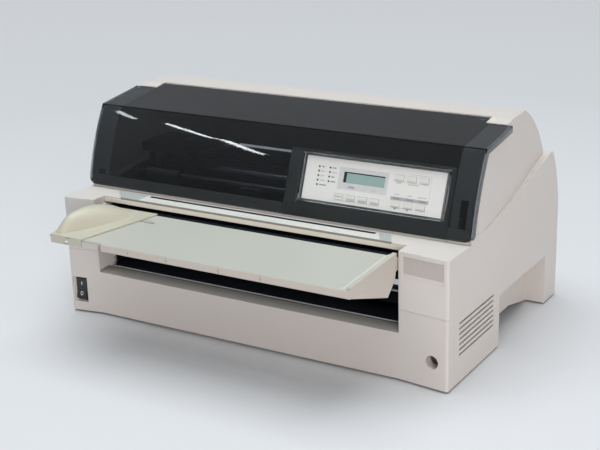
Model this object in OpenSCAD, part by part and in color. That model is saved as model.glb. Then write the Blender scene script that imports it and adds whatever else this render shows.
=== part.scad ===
// Flat bed dot matrix printer: a wide desktop impact printer with a hinged
// smoked cover, a fold-up paper table in front and push tractors below it.
// X runs to the right, Y to the rear and Z up. The origin is on the floor,
// under the middle of the printer and its paper table.

/* [Case] */
// Width of the case
body_w = 640; // [620:5:680]
// Depth of the case, from the tower fronts to the rear wall
body_d = 404; // [400:2:430]
// Height of the case at its rear top edge
body_h = 323; // [318:1:330]
// Wall of the plastic mouldings
wall = 3; // [2.5:0.5:3.5]
// Open seam between two mouldings
seam = 0.3; // [0.2:0.1:0.5]
// Height of the rubber feet
foot_h = 3; // [2:0.5:5]
// Radius of the rubber feet
foot_r = 9; // [7:1:12]
// Width of the left front tower
left_tower_w = 53; // [50:1:60]
// Width of the right front tower
right_tower_w = 76; // [74:1:84]
// Height of the deck on top of the towers
deck_z = 186; // [184:1:190]
// Height of the seam across the tower fronts
tower_seam_z = 104; // [95:1:115]
// Distance of the middle front panel behind the tower corners
panel_setback = 9; // [6:1:12]
// Radius of the upright front corners
corner_r = 4; // [3.6:0.2:6]
// Height of the front sill, the floor of the continuous paper entry
sill_z = 70; // [60:1:80]
// Depth of the front sill
sill_d = 24; // [18:1:26]
// Front face of the sheet entry bar, behind the tower corners
bar_y = 33; // [31:1:36]
// Rear edge of the deck under the cover
deck_rear_y = 72; // [70:1:76]
// Left end of the sheet entry bar, from the left tower
bar_inset = 45; // [35:1:60]
// Height of the side ledge at its front end
ledge_z = 193; // [190:1:196]
// Place along the side where the ledge starts and the upper sides turn in
taper_y = 100; // [90:2:110]
// How far the upper sides have turned in at their rear end
taper_in = 12; // [8:1:14]
// Height of the ledge at the rear
ledge_rear_z = 240; // [230:1:245]
// Depth of the ledge at the rear
ledge_rear_d = 13; // [10:1:15]
// Rear edge of the flat top
top_back_y = 274; // [260:2:280]
// Bulge of the rounded rear of the upper case
rear_bow = 9.6; // [5:0.2:14]
// Depth of the hand hole in each side
notch_d = 30; // [24:1:32]
// Distance of the hand hole from the rear wall
notch_back = 50; // [46:1:56]
// Length of the hand hole
notch_l = 180; // [160:2:184]
// Height of the hand hole
notch_h = 80; // [70:1:90]
// Number of cooling slots in each side
vent_count = 7; // [5:1:9]
// Pitch of the cooling slots
vent_pitch = 7.5; // [6.5:0.5:9]
// Length of the cooling slots
vent_l = 117; // [90:1:125]
// Height of one cooling slot
vent_h = 3; // [2:0.5:4]

/* [Cover] */
// Width of the smoked cover over its side lips
cover_w = 646; // [645:0.5:650]
// Wall of the smoked cover
cover_t = 3; // [2.5:0.5:3.5]
// Lower front edge of the cover, behind the tower corners
cover_foot_y = 66; // [64:1:68]
// Gap between the cover's lower edge and the deck
cover_gap = 4; // [3:0.5:6]
// Fold between the front and the top of the cover, from the tower corners
cover_fold_y = 112; // [108:1:116]
// Drop from the case top to the fold of the cover
cover_fold_drop = 15.5; // [12:0.5:20]
// Bulge of the cover's front
cover_bow = 5.5; // [3:0.5:7]
// Rear edge of the cover
cover_back_y = 220.5; // [214:0.5:226]
// Length of the step between the cover's rear edge and its corners
cover_step = 21.5; // [16:0.5:28]
// Width of each stepped rear corner of the cover
cover_ear_w = 40; // [34:1:46]
// Depth of the cover's side lips
lip_d = 9; // [6:0.5:12]
// Width of the beige frame behind each end of the cover
frame_band_w = 30; // [24:1:34]
// Radius of the cover's hinge pins
hinge_pin_r = 2.5; // [2:0.1:2.8]

/* [Operator panel] */
// Left edge of the opening in the cover
window_x = 48; // [40:1:56]
// Width of the opening in the cover
window_w = 233; // [228:1:238]
// Lower edge of the opening, up the cover's front
window_s = 22; // [20:1:24]
// Height of the opening
window_h = 71; // [69:1:73]
// Width of the opening's bevel at its sides
bevel_x = 8.5; // [6:0.5:9]
// Width of the opening's bevel above and below
bevel_s = 4.7; // [3:0.1:5]
// Depth of the panel face behind the chord of the cover's front
face_depth = 2.5; // [2:0.1:3.5]
// Thickness of the panel face
face_t = 1; // [0.8:0.1:1.5]
// Depth of the panel housing
housing_d = 22; // [18:1:23]
// Width of one key
key_w = 13.5; // [11:0.5:15]
// Height of one key
key_h = 8; // [6:0.5:9]
// Pitch of the keys in a row
key_pitch = 18.7; // [17:0.1:20]
// Travel of a key
key_travel = 0.8; // [0.4:0.1:1]
// Width of the display
lcd_w = 64; // [56:1:68]
// Height of the display
lcd_h = 15; // [12:1:18]

/* [Paper table] */
// Reach of the table in front of the tower corners
table_reach = 120; // [110:2:130]
// Height of the table's front edge
table_front_z = 173.3; // [171:0.1:175]
// Rise of the table to its rear edge
table_rise = 3.2; // [2:0.2:4]
// Left end of the deep front lip of the table
lip_x = -150; // [-160:1:-140]
// Height of the front lip
lip_h = 10; // [8:0.5:14]
// Thickness of the table plate
table_t = 3; // [2.5:0.5:3.5]
// Height of the rim on the table's right edge
rim_h = 4.3; // [3:0.1:6]
// Gap between the table and the towers
table_gap = 2; // [1:0.5:2.5]
// Radius of the table's pivot pins
table_pin_r = 3; // [2:0.5:4]
// Travel of the left paper guide
guide_travel = 25; // [15:1:28]
// Height of the left paper guide's fin
fin_h = 26; // [20:1:28]

/* [Print mechanism] */
// Height of the paper path
paper_z = 172; // [171:0.5:173]
// Place of the front feed roller, behind the tower corners
front_roller_y = 110; // [108:1:111]
// Radius of the feed rollers
feed_r = 9; // [7:0.5:9.5]
// Radius of the feed roller journals
journal_r = 5; // [4:0.5:5.5]
// Radius of the pinch rollers
pinch_r = 6; // [5:0.5:6]
// Gap between feed and pinch rollers
nip = 0.3; // [0.2:0.1:0.6]
// Thickness of the steel side frames
frame_t = 2; // [1.5:0.5:2.5]
// Radius of the main carriage shaft
main_shaft_r = 6; // [5:0.5:6.5]
// Radius of the front carriage shaft
front_shaft_r = 4; // [3:0.5:4.5]
// Height of both carriage shafts
carriage_shaft_z = 206; // [205:0.5:208]
// Width of the carriage
carriage_w = 60; // [50:2:66]
// Radius of the print head body
head_r = 15; // [12:0.5:15]
// Radius of the belt pulleys
pulley_r = 8; // [7:0.5:9]
// Thickness of the drive belt
belt_t = 1.2; // [1:0.1:1.5]
// Running clearance of shafts in their bores
run = 0.05; // [0.03:0.01:0.08]

/* [Gears] */
// Gear module
gear_m = 1.5; // [1.45:0.01:1.5]
// Teeth of each feed roller gear
roller_teeth = 24; // [22:1:24]
// Teeth of each idler gear
idler_teeth = 22; // [20:1:22]
// Teeth of the motor pinion
pinion_teeth = 12; // [11:1:13]
// Teeth of the tractor gear
tractor_teeth = 18; // [17:1:19]
// Face width of the gears
gear_w = 8; // [6:0.5:9]
// Play between the teeth
backlash = 0.25; // [0.2:0.05:0.4]

/* [Tractors] */
// Horizontal distance from the front feed roller to the tractor shaft
tractor_back = 50; // [48:0.5:52]
// Side of the square tractor shaft
square_w = 8; // [7:0.5:8]
// Width of one tractor
tractor_w = 20; // [18:1:24]
// Number of pins on a tractor wheel, one half inch apart
pin_count = 6; // [5:1:6]

/* [Electrics] */
// Side of the stepper motors
motor_w = 42; // [38:1:42]
// Side of the fan
fan_w = 60; // [50:2:60]
// Height of the power switch opening
switch_h = 33; // [30:1:35]
// Width of the power switch rocker
rocker_w = 18; // [16:0.5:19]

/* [Hidden] */
$fn = 48;
hw = body_w / 2;
left_in = -hw + left_tower_w;
right_in = hw - right_tower_w;
middle_y = (body_d - table_reach) / 2;
notch_y = body_d - notch_back - notch_l;
// Side taper and rear curve of the lower case
rear_knee_z = 130;
rear_top_y = body_d - 31;
rear_lower_bow = 8;
ledge_end_y = rear_top_y - ledge_rear_d;
// Cover
cover_hw = cover_w / 2;
cover_foot = [cover_foot_y, deck_z + cover_gap];
cover_fold = [cover_fold_y, body_h - cover_fold_drop];
cover_back = [cover_back_y, body_h - 1.5];
cover_ear_y = cover_back_y - cover_step;
cover_ear_x = cover_hw - cover_ear_w;
cover_clear = 0.6;
cover_lean = atan2(cover_fold[0] - cover_foot[0], cover_fold[1] - cover_foot[1]);
hinge_y = cover_back_y - 3.5;
hinge_z = cover_back[1] - 3.5;
hinge_knuckle_r = 3;
hinge_gap = 1.9;
frame_under = cover_t + 1.2;
frame_sheet = 2.5;
deck_lip_s = 17;
// Operator panel
housing_x0 = window_x - 20;
housing_x1 = window_x + window_w + 3;
housing_top_s = window_s + window_h + 4;
housing_front = face_depth + face_t;
housing_wall = 2.5;
face_margin = 4;
board_depth = 10.4;
board_t = 1.6;
key_proud = 1.2;
key_flange_t = 1;
key_clear = 0.3;
low_keys = [for (i = [0:3]) [window_x + 67 + i * key_pitch, window_s + 14]];
top_keys = [for (i = [0:2]) [window_x + 155 + i * key_pitch, window_s + 51]];
right_keys = [for (i = [0:2]) [window_x + 155 + i * key_pitch, window_s + 15]];
lamps = concat([for (i = [0:4]) [window_x + 29.5, window_s + 52.6 - i * 6.4]],
               [for (i = [0:3]) [window_x + 47, window_s + 52.6 - i * 6.4]]);
lamp_r = 1.3;
lcd_at = [window_x + 102, window_s + 42.3];
// Table
table_a = atan2(table_rise, table_reach + 12);
table_x0 = left_in + 22;
table_x1 = right_in - table_gap;
table_rear_y = 12;
table_pivot = [20, table_front_z - 7.5];
guide_base_t = 2;
guide_clear = 0.3;
guide_groove_y = -18;
groove_w = 3.6;
guide_rear_y = 15;
// Paper path and gears
frame_left = left_in + 5;
frame_right = right_in;
frame_l_in = frame_left;
frame_r_in = frame_right - frame_t;
gear_x = frame_right + 2;
feed_z = paper_z - feed_r;
pinch_z = paper_z + nip + pinch_r;
centre_ri = gear_m * (roller_teeth + idler_teeth) / 2;
rear_roller_y = front_roller_y + 2 * centre_ri;
front_roller = [front_roller_y, feed_z];
idler = [front_roller_y + centre_ri, feed_z];
rear_roller = [rear_roller_y, feed_z];
centre_it = gear_m * (idler_teeth + tractor_teeth) / 2;
tractor_far = centre_ri + centre_it;
tractor_drop = sqrt(tractor_far * tractor_far - tractor_back * tractor_back);
tractor_axis = front_roller - [tractor_back, tractor_drop];
tractor_idler = front_roller - centre_ri / tractor_far * [tractor_back, tractor_drop];
pinion_lean = 20;
pinion = front_roller + gear_m * (roller_teeth + pinion_teeth) / 2 * [sin(pinion_lean), -cos(pinion_lean)];
platen_y = (front_roller_y + rear_roller_y) / 2;
roof_z = paper_z + 5.5;
main_shaft_y = platen_y + 27;
front_shaft_y = platen_y - 25;
carriage_home = frame_l_in + 47;
pulley_y = main_shaft_y + 40;
pulley_z = carriage_shaft_z + 4;
drive_pulley_x = frame_l_in + 27;
idler_pulley_x = frame_r_in - 20;
beam_z = carriage_shaft_z - 2;
support_shaft = tractor_axis + [12, -19];
support_r = 4;
tractor_x = [frame_l_in + 60, frame_r_in - 60 - tractor_w];
pin_pitch = 12.7;
pin_circle = pin_pitch * pin_count / 360 * 180 / PI;
stud_r = 3;
floor_z = foot_h + wall;
floor_rise = 15;
frame_front_y = 44;
frame_rear_y = body_d - 24;

function arc(c, r, a0, a1, n) =
    [for (i = [0:n]) c + r * [cos(a0 + (a1 - a0) * i / n), sin(a0 + (a1 - a0) * i / n)]];
// A line from a to b that bulges to its left by rise
function bow(a, b, rise, n = 8) =
    let (d = b - a, len = norm(d), r = (len * len / 4 + rise * rise) / (2 * rise),
         left = [-d[1], d[0]] / len, c = (a + b) / 2 - left * (r - rise),
         am = atan2(left[1], left[0]), ah = asin(len / 2 / r))
    arc(c, r, am + ah, am - ah, n);
function right_of(a, b) = let (d = b - a) [d[1], -d[0]] / norm(d);
// A path moved to its right by d, with mitred corners
function moved(path, d) =
    let (last = len(path) - 1)
    [for (i = [0:last])
        let (n1 = right_of(path[max(i - 1, 0)], path[max(i, 1)]),
             n2 = right_of(path[min(i, last - 1)], path[min(i + 1, last)]))
        path[i] + d * (n1 + n2) / (1 + n1 * n2)];
function reversed(path) = [for (i = [len(path) - 1:-1:0]) path[i]];

cover_front = bow(cover_foot, cover_fold, cover_bow);
cover_line = concat(cover_front, [cover_back]);
function cover_top_z(y) =
    cover_fold[1] + (y - cover_fold[0]) * (cover_back[1] - cover_fold[1]) / (cover_back[0] - cover_fold[0]);
cover_ear = [cover_ear_y, cover_top_z(cover_ear_y)];
cover_side_line = concat(cover_front, [cover_ear]);
// Side outlines of the case
function ledge_height(y) =
    ledge_z + (ledge_rear_z - ledge_z) * pow(max(y - taper_y, 0) / (ledge_end_y - taper_y), 1.5);
ledge_line = concat([[deck_rear_y, ledge_z], [taper_y, ledge_z]],
                    [for (i = [1:8]) let (y = taper_y + (ledge_end_y - taper_y) * i / 8) [y, ledge_height(y)]]);
rear_lower = bow([rear_top_y, ledge_rear_z], [body_d, rear_knee_z], rear_lower_bow);
upper_rear = bow([top_back_y, body_h], [ledge_end_y, ledge_rear_z + wall], rear_bow);
// Plan of the front, from the left side to the right side
lean_r = atan2(panel_setback, right_tower_w);
lean_l = atan2(panel_setback, left_tower_w);
corner_yr = corner_r * tan(lean_r) + corner_r / cos(lean_r);
corner_yl = corner_r * tan(lean_l) + corner_r / cos(lean_l);
front_l = concat(arc([-hw + corner_r, corner_yl], corner_r, 180, 270 + lean_l, 4), [[left_in, panel_setback]]);
front_r = concat([[right_in, panel_setback]], arc([hw - corner_r, corner_yr], corner_r, 270 - lean_r, 360, 4));
side_y = max(corner_yl, corner_yr) + 0.5;

module placed() translate([0, -middle_y, 0]) children();
// An outline in Y and Z carried along X
module prism_x(x0, x1) translate([x0, 0, 0]) rotate([90, 0, 90]) linear_extrude(x1 - x0) children();
module strip(path, t) polygon(concat(path, reversed(moved(path, t))));
module rod_x(x0, x1, at, r) translate([x0, at[0], at[1]]) rotate([0, 90, 0]) cylinder(r = r, h = x1 - x0);
module both_sides() {
    children();
    mirror([1, 0, 0]) children();
}
module box(from, to) translate(from) cube(to - from);
// The flat frame of the cover's front: X, height s up the chord, w outwards
module on_chord() translate([0, cover_foot[0], cover_foot[1]]) rotate([90 - cover_lean, 0, 0]) children();
module chord_box(x0, x1, s0, s1, w0, w1) on_chord() box([x0, s0, w0], [x1, s1, w1]);
module chord_rod(x, s, r, w0, w1) on_chord() translate([x, s, w0]) cylinder(r = r, h = w1 - w0);
// The flat frame of the table: X, v from its front edge, h over its top
module on_table() translate([0, -table_reach, table_front_z]) rotate([table_a, 0, 0]) children();
module table_box(x0, x1, v0, v1, h0, h1) on_table() box([x0, v0, h0], [x1, v1, h1]);
// A slot with round ends along X in the plane of X and Y
module slot(span, h) {
    translate([h / 2, -h / 2]) square([span - h, h]);
    for (x = [h / 2, span - h / 2]) translate([x, 0]) circle(r = h / 2, $fn = 20);
}

// ---- Case ----
vent_y = 36;
vent_z = 42.5;
pocket_in = hw - notch_d;
pocket_rear = notch_y + notch_l;
tray_flat_end = notch_y + 111;
inlet_x = -hw + 34;
connector_x = [right_in - 124, right_in - 64];
rear_slot = [paper_z - 4, paper_z + 12];

flange_line = concat([[deck_rear_y + 3, ledge_z]], [for (p = ledge_line) if (p[0] > deck_rear_y + 4) p]);
side_outline = concat([[side_y + seam, foot_h], [body_d, foot_h]], reversed(rear_lower), reversed(flange_line),
                      [[deck_rear_y + seam, ledge_z], [deck_rear_y + seam, deck_z - wall],
                       [side_y + seam, deck_z - wall]]);

module lower_side() {
    prism_x(hw - wall, hw) polygon(side_outline);
    prism_x(hw - wall - taper_in - 3, hw - 1) strip(moved(flange_line, 0.1), wall);
    // Walls of the hand hole
    box([pocket_in - wall, notch_y - wall, foot_h], [hw - 1, notch_y, notch_h + wall]);
    box([pocket_in - wall, pocket_rear, foot_h], [hw - 1, pocket_rear + wall, notch_h + wall]);
    box([pocket_in - wall, notch_y - 1, notch_h], [hw - 1, pocket_rear + 1, notch_h + wall]);
    prism_x(pocket_in - wall, pocket_in)
        polygon([[notch_y - 1, foot_h + floor_rise], [tray_flat_end, foot_h + floor_rise],
                 [pocket_rear - 4, foot_h], [pocket_rear + 1, foot_h],
                 [pocket_rear + 1, notch_h + 1], [notch_y - 1, notch_h + 1]]);
}

module lower_case() color("#bfb9b0") placed() difference() {
    union() {
        both_sides() lower_side();
        prism_x(-hw + 1, hw - 1) strip(concat(rear_lower, [[body_d, foot_h]]), wall);
        prism_x(-hw + 1, hw - 1)
            polygon([[ledge_end_y - wall, ledge_rear_z - wall], [rear_top_y - 1, ledge_rear_z - wall],
                     [rear_top_y - 1, ledge_rear_z], [ledge_end_y, ledge_rear_z],
                     [ledge_end_y - wall, ledge_rear_z - 0.8]]);
    }
    both_sides() {
        box([pocket_in, notch_y, 0], [hw + 1, pocket_rear, notch_h]);
        for (i = [0:vent_count - 1])
            translate([hw - wall - 1, vent_y, vent_z + i * vent_pitch]) rotate([90, 0, 90])
                linear_extrude(wall + 2) slot(vent_l, vent_h);
        for (i = [0:2])
            translate([hw - 40 - i * 40, body_d + 1, 105]) rotate([90, 0, 0]) rotate([0, 0, 90])
                linear_extrude(wall + 2) slot(18, vent_h);
    }
    // Openings in the rear wall: mains inlet, interface and paper exit
    box([inlet_x - 14.3, body_d - 5, 25.7], [inlet_x + 14.3, body_d + 1, 50.3]);
    box([connector_x[0] - seam, body_d - 5, 31.3], [connector_x[1] + seam, body_d + 1, 48.3]);
    box([frame_l_in + 2, body_d - 14, rear_slot[0]], [frame_r_in - 2, body_d + 1, rear_slot[1]]);
}

taper_plan = [[hw - wall, 40], [hw, 40], [hw, taper_y], [hw - taper_in, body_d - 34],
              [hw - taper_in - wall, body_d - 34], [hw - wall, taper_y]];
upper_y = cover_back_y + hinge_gap;
ear_front = cover_ear_y + seam + 0.5;
upper_outline = concat([[deck_rear_y + seam, ledge_z]],
    [for (p = moved(cover_side_line, cover_t + cover_clear))
        if (p[0] > deck_rear_y + 1 && p[0] < cover_ear_y - 1) p],
    [[ear_front, cover_top_z(ear_front) - cover_t - cover_clear], [ear_front, cover_top_z(ear_front) + 1],
     [upper_y, body_h]], upper_rear, [[ledge_end_y, ledge_rear_z]],
    [for (p = reversed(ledge_line)) if (p[0] < ledge_end_y - 1 && p[0] > deck_rear_y + 1) p]);

module end_band() difference() {
    prism_x(hw - wall - frame_band_w + 1, hw - 1) strip(moved(cover_side_line, frame_under), frame_sheet);
    chord_box(0, hw, -20, deck_lip_s + seam, -30, 20);
}

// Plan of what lies between the middles of the two side walls
between = concat([for (p = [[40], [taper_y]]) [hw - wall / 2, p[0]]], [[hw - taper_in - wall / 2, body_d - 34]]);
between_plan = concat(between, [for (p = reversed(between)) [-p[0], p[1]]]);

module upper_case() color("#c6c1b7") placed() difference() {
    union() {
        both_sides() intersection() {
            linear_extrude(body_h + 10) polygon(taper_plan);
            prism_x(hw - 40, hw + 1) polygon(upper_outline);
        }
        intersection() {
            linear_extrude(body_h + 10) polygon(between_plan);
            union() {
                both_sides() {
                    end_band();
                    prism_x(cover_ear_x + 0.5, hw)
                        strip([[ear_front, cover_top_z(ear_front) + 0.9], [upper_y, body_h - 0.1],
                               [upper_y + 4, body_h - 0.1]], wall);
                    rod_x(cover_ear_x + 0.5, cover_ear_x + 10, [hinge_y, hinge_z], hinge_pin_r + 2.4);
                }
                prism_x(-hw, hw)
                    strip(concat([[upper_y, body_h]], upper_rear, [[ledge_end_y, ledge_rear_z]]), wall);
            }
        }
    }
    both_sides() {
        rod_x(cover_ear_x, cover_ear_x + 8, [hinge_y, hinge_z], hinge_pin_r + run);
        // Finger recess beside the cover's rim
        box([hw - 1.8, 82, ledge_z + 1.5], [hw + 2, 96, ledge_z + 20]);
    }
    // Latch slots in the bands behind the cover
    chord_box(hw - 21, hw - 10, 8, 55, -12, 4);
    chord_box(-hw + 12, -hw + 24, 8, 25, -12, 4);
}

// The wall of the tower fronts and the middle, in plan
module front_wall(path, z0, z1)
    translate([0, 0, z0]) linear_extrude(z1 - z0) strip(path, -wall);
tower_l = concat([[-hw, side_y]], front_l);
tower_r = concat(front_r, [[hw, side_y]]);

switch_at = [-hw + 18, 38.5];
switch_out = [rocker_w + 2.6, switch_h + 4];
switch_front = 5;
recess_y = 8;
well_at = [hw - 24.3, 40.3];
well_r = 9.5;

module switch_recess_hole() {
    translate([0, 0, switch_at[1] - switch_out[1] / 2 - 2.3])
        linear_extrude(switch_out[1] + 3)
            polygon([[switch_at[0] - 16, -2], [switch_at[0] + switch_out[0] / 2 + seam, -2],
                     [switch_at[0] + switch_out[0] / 2 + seam, recess_y],
                     [switch_at[0] - switch_out[0] / 2 - 1, recess_y]]);
    box([switch_at[0] - switch_out[0] / 2 - seam, 0, switch_at[1] - switch_out[1] / 2 - seam],
        [switch_at[0] + switch_out[0] / 2 + seam, 20, switch_at[1] + switch_out[1] / 2 + seam]);
}

module front_panel() color("#c3bdb3") placed() difference() {
    union() {
        front_wall(tower_l, foot_h, tower_seam_z);
        front_wall(tower_r, foot_h, tower_seam_z);
        box([left_in - wall, panel_setback + 0.5, floor_z + seam], [left_in, frame_front_y + 2, tower_seam_z]);
        box([right_in, panel_setback + 0.5, floor_z + seam], [right_in + wall, frame_front_y + 2, tower_seam_z]);
        box([left_in - 1, panel_setback, foot_h], [right_in + 1, panel_setback + wall, sill_z - 1]);
        prism_x(left_in - 1, right_in + 1)
            polygon([[panel_setback, sill_z - wall], [panel_setback, sill_z], [panel_setback + sill_d, sill_z + 2.5],
                     [panel_setback + sill_d, sill_z + 2.5 - wall]]);
        // Walls behind the switch recess
        translate([0, 0, switch_at[1] - switch_out[1] / 2 - 4.5])
            linear_extrude(switch_out[1] + 8)
                polygon([[-hw + wall + seam, 3], [left_in - 20, 7.5], [left_in - 20, recess_y + 2.5],
                         [-hw + wall + seam, recess_y + 2.5]]);
        translate([well_at[0], 4.4, well_at[1]]) rotate([-90, 0, 0]) cylinder(r = well_r + 2, h = 22);
    }
    switch_recess_hole();
    translate([well_at[0], -2, well_at[1]]) rotate([-90, 0, 0]) cylinder(r = well_r, h = 26);
    translate([well_at[0], 0, well_at[1]]) rotate([-90, 0, 0]) cylinder(r = 2.2, h = 40);
}

strip_y = [bar_y + 1, deck_rear_y - 10];
strip_x = [left_in + 31, left_in + 5, right_in - 37, right_in - 23];
strip_z = deck_z - 2;
slot_x = [left_in + bar_inset, right_in - 2.5];
stop_z = table_pivot[1] + 4.6;

module deck_lip() difference() {
    prism_x(-hw + wall + seam, hw - wall - seam)
        strip(concat([[moved(cover_front, frame_under)[0][0], deck_z - 1]], moved(cover_front, frame_under)), frame_sheet);
    chord_box(-hw, hw, deck_lip_s, 200, -30, 20);
    box([housing_x0 - 1, 0, deck_z], [housing_x1 + 1, 200, body_h]);
}

module front_deck() color("#dadcd4") placed() difference() {
    union() {
        front_wall(tower_l, tower_seam_z + seam, deck_z - 1);
        front_wall(tower_r, tower_seam_z + seam, deck_z - 1);
        translate([0, 0, deck_z - wall]) linear_extrude(wall) {
            polygon(concat(tower_l, [[left_in, deck_rear_y], [-hw, deck_rear_y]]));
            polygon(concat([[right_in, deck_rear_y]], tower_r, [[hw, deck_rear_y]]));
        }
        box([left_in - wall, panel_setback + 0.5, tower_seam_z + seam], [left_in, frame_front_y + 2, deck_z - 1]);
        box([right_in, panel_setback + 0.5, tower_seam_z + seam], [right_in + wall, bar_y + 7, deck_z - 1]);
        // Lower middle of the deck, its rear rib and the blocks beside the scale strip
        box([left_in - 1, bar_y, strip_z - wall], [right_in + 1, deck_rear_y, strip_z]);
        box([left_in - 1, strip_y[1] + seam, strip_z - 1], [right_in + 1, deck_rear_y, deck_z]);
        translate([0, 0, strip_z - 1]) linear_extrude(deck_z - strip_z + 1) {
            polygon([[right_in + 1, strip_y[0]], [right_in + 1, strip_y[1] + 1],
                     [strip_x[2] + seam, strip_y[1] + 1],
                     [strip_x[2] + seam, strip_y[1]], [strip_x[3] + seam, strip_y[0]]]);
            polygon([[left_in - 1, strip_y[0]], [strip_x[0] - seam, strip_y[0]], [strip_x[1] - seam, strip_y[1]],
                     [strip_x[1] - seam, strip_y[1] + 1], [left_in - 1, strip_y[1] + 1]]);
        }
        // Sheet entry bar with the roof of the paper slot behind it
        box([slot_x[0], bar_y, roof_z], [slot_x[1], bar_y + wall, strip_z - 1]);
        box([slot_x[0], bar_y, roof_z], [slot_x[1], front_roller_y - 10, roof_z + 2]);
        for (i = [0:4]) let (x = slot_x[0] + 2 + i * (slot_x[1] - slot_x[0] - 7) / 4)
            box([x, bar_y + 1, roof_z + 1], [x + wall, deck_rear_y, strip_z - 1]);
        prism_x(left_in - 1, slot_x[0] + 1)
            polygon([[bar_y, strip_z - 1], [bar_y, strip_z - 6], [bar_y + 4, strip_z - 8], [bar_y + 26, strip_z - 8],
                     [bar_y + 26, strip_z - 1]]);
        deck_lip();
        // Seats of the panel housing
        for (x = [housing_x0 + 16, (housing_x0 + housing_x1) / 2, right_in - 16])
            translate([x, deck_rear_y + 14, roof_z + 1]) cylinder(r = 3.5, h = deck_z - roof_z - 1);
        // Stops of the paper table
        box([right_in - 4, table_pivot[0] + 6, stop_z], [right_in + 1, table_pivot[0] + 12, stop_z + 5]);
        box([left_in - 1, table_pivot[0] + 6, stop_z], [left_in + 6, table_pivot[0] + 12, stop_z + 5]);
    }
    translate([right_in, panel_setback, 0]) rotate([0, 0, -lean_r])
        box([7, -2, deck_z - 34.5], [69, 0.8, deck_z - 6]);
    rod_x(right_in - 5, right_in + wall + 1, table_pivot, table_pin_r + run);
    rod_x(left_in - wall - 1, left_in + 1, table_pivot, table_pin_r + run);
}

module scale_strip() color("#f0f0ec") placed() difference() {
    translate([0, 0, strip_z]) linear_extrude(3)
        polygon([[strip_x[0], strip_y[0]], [strip_x[1], strip_y[1]], [strip_x[2], strip_y[1]], [strip_x[3], strip_y[0]]]);
    box([strip_x[0] + 39, strip_y[1] - 8, strip_z + 2.2], [strip_x[2] - 21, strip_y[1] - 4, strip_z + 4]);
}

tray_x = hw - wall - seam;
board_z = 30;
supply_z = 24;
supply_box = [[frame_l_in + 7, notch_y + 18], [frame_l_in + 187, body_d - 19]];
board_box = [[supply_box[1][0] + 15, notch_y + 13], [right_in - 19, body_d - 16]];
main_board_w = board_box[1][0] - board_box[0][0];
post_x = [for (i = [0:2]) board_box[0][0] + 8 + i * (main_board_w - 16) / 2];

module base_tray() color("#55534f") placed() {
    difference() {
        prism_x(-tray_x, tray_x)
            strip([[panel_setback + wall + seam, floor_z], [notch_y - 3, floor_z],
                   [notch_y + 2, floor_z + floor_rise], [tray_flat_end, floor_z + floor_rise],
                   [pocket_rear - 4, floor_z], [body_d - wall - seam, floor_z]],
                  wall);
        both_sides()
            box([pocket_in - wall - seam, notch_y - wall - seam, 0], [hw, pocket_rear + wall + seam, 40]);
    }
    // Posts under the main board and the power supply
    for (x = post_x, y = [board_box[0][1] + 8, board_box[0][1] + 88])
        translate([x, y, floor_z + floor_rise - 0.5])
            cylinder(r = 4, h = board_z - floor_z - floor_rise + 0.5);
    for (x = post_x)
        translate([x, body_d - 26, floor_z - 0.5]) cylinder(r = 4, h = board_z - floor_z + 0.5);
    for (x = [supply_box[0][0] + 7, supply_box[1][0] - 7]) {
        translate([x, supply_box[0][1] + 8, floor_z + floor_rise - 0.5])
            cylinder(r = 4, h = supply_z - floor_z - floor_rise + 0.5);
        translate([x, body_d - 26, floor_z - 0.5]) cylinder(r = 4, h = supply_z - floor_z + 0.5);
    }
}

module rubber_feet() color("#2b2b2c") placed()
    for (x = [-hw + 33, hw - 33], y = [30, body_d - 24])
        translate([x, y, 0]) cylinder(r = foot_r, h = foot_h);

// ---- Cover and operator panel ----
window_cut_w = -1.5;

// A pyramid-sided block through the cover: full size at its outer face, inset by the bevel at the ring's rear
module window_cut(grow = 0, deep = -14) {
    reach = 8;
    at_outer = 5;
    span = at_outer - window_cut_w;
    gx = bevel_x / span;
    gs = bevel_s / span;
    x0 = window_x - grow;
    x1 = window_x + window_w + grow;
    s0 = window_s - grow;
    s1 = window_s + window_h + grow;
    on_chord() intersection() {
        translate([0, s1 + 30, 0]) rotate([90, 0, 0]) linear_extrude(s1 - s0 + 60)
            polygon([[x0 - gx * reach, at_outer + reach], [x0 + bevel_x, window_cut_w], [x0 + bevel_x, deep],
                     [x1 - bevel_x, deep], [x1 - bevel_x, window_cut_w], [x1 + gx * reach, at_outer + reach]]);
        prism_x(x0 - 20, x1 + 20)
            polygon([[s0 - gs * reach, at_outer + reach], [s0 + bevel_s, window_cut_w], [s0 + bevel_s, deep],
                     [s1 - bevel_s, deep], [s1 - bevel_s, window_cut_w], [s1 + gs * reach, at_outer + reach]]);
    }
}

module top_cover() color("#2a3036", 0.85) placed() {
    difference() {
        union() {
            prism_x(-cover_hw, cover_hw) strip(cover_line, cover_t);
            both_sides() prism_x(hw + 0.4, cover_hw) strip(cover_side_line, lip_d);
            // Ring behind the opening of the operator panel
            intersection() {
                window_cut(2.5);
                chord_box(0, hw, 0, 120, window_cut_w, 1.2);
            }
            both_sides() rod_x(cover_ear_x - 15, cover_ear_x - 1, [hinge_y, hinge_z], hinge_knuckle_r);
        }
        window_cut();
        both_sides() {
            box([cover_ear_x, cover_ear_y, body_h - 40], [cover_hw + 1, cover_back_y + 1, body_h + 20]);
            // Rounded lower corners
            on_chord() difference() {
                box([cover_hw - 12, -8, -14], [cover_hw + 2, 12, 14]);
                translate([cover_hw - 12, 12, -15]) cylinder(r = 12, h = 30);
            }
        }
    }
    both_sides() rod_x(cover_ear_x - 2, cover_ear_x + 6, [hinge_y, hinge_z], hinge_pin_r);
}

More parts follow.
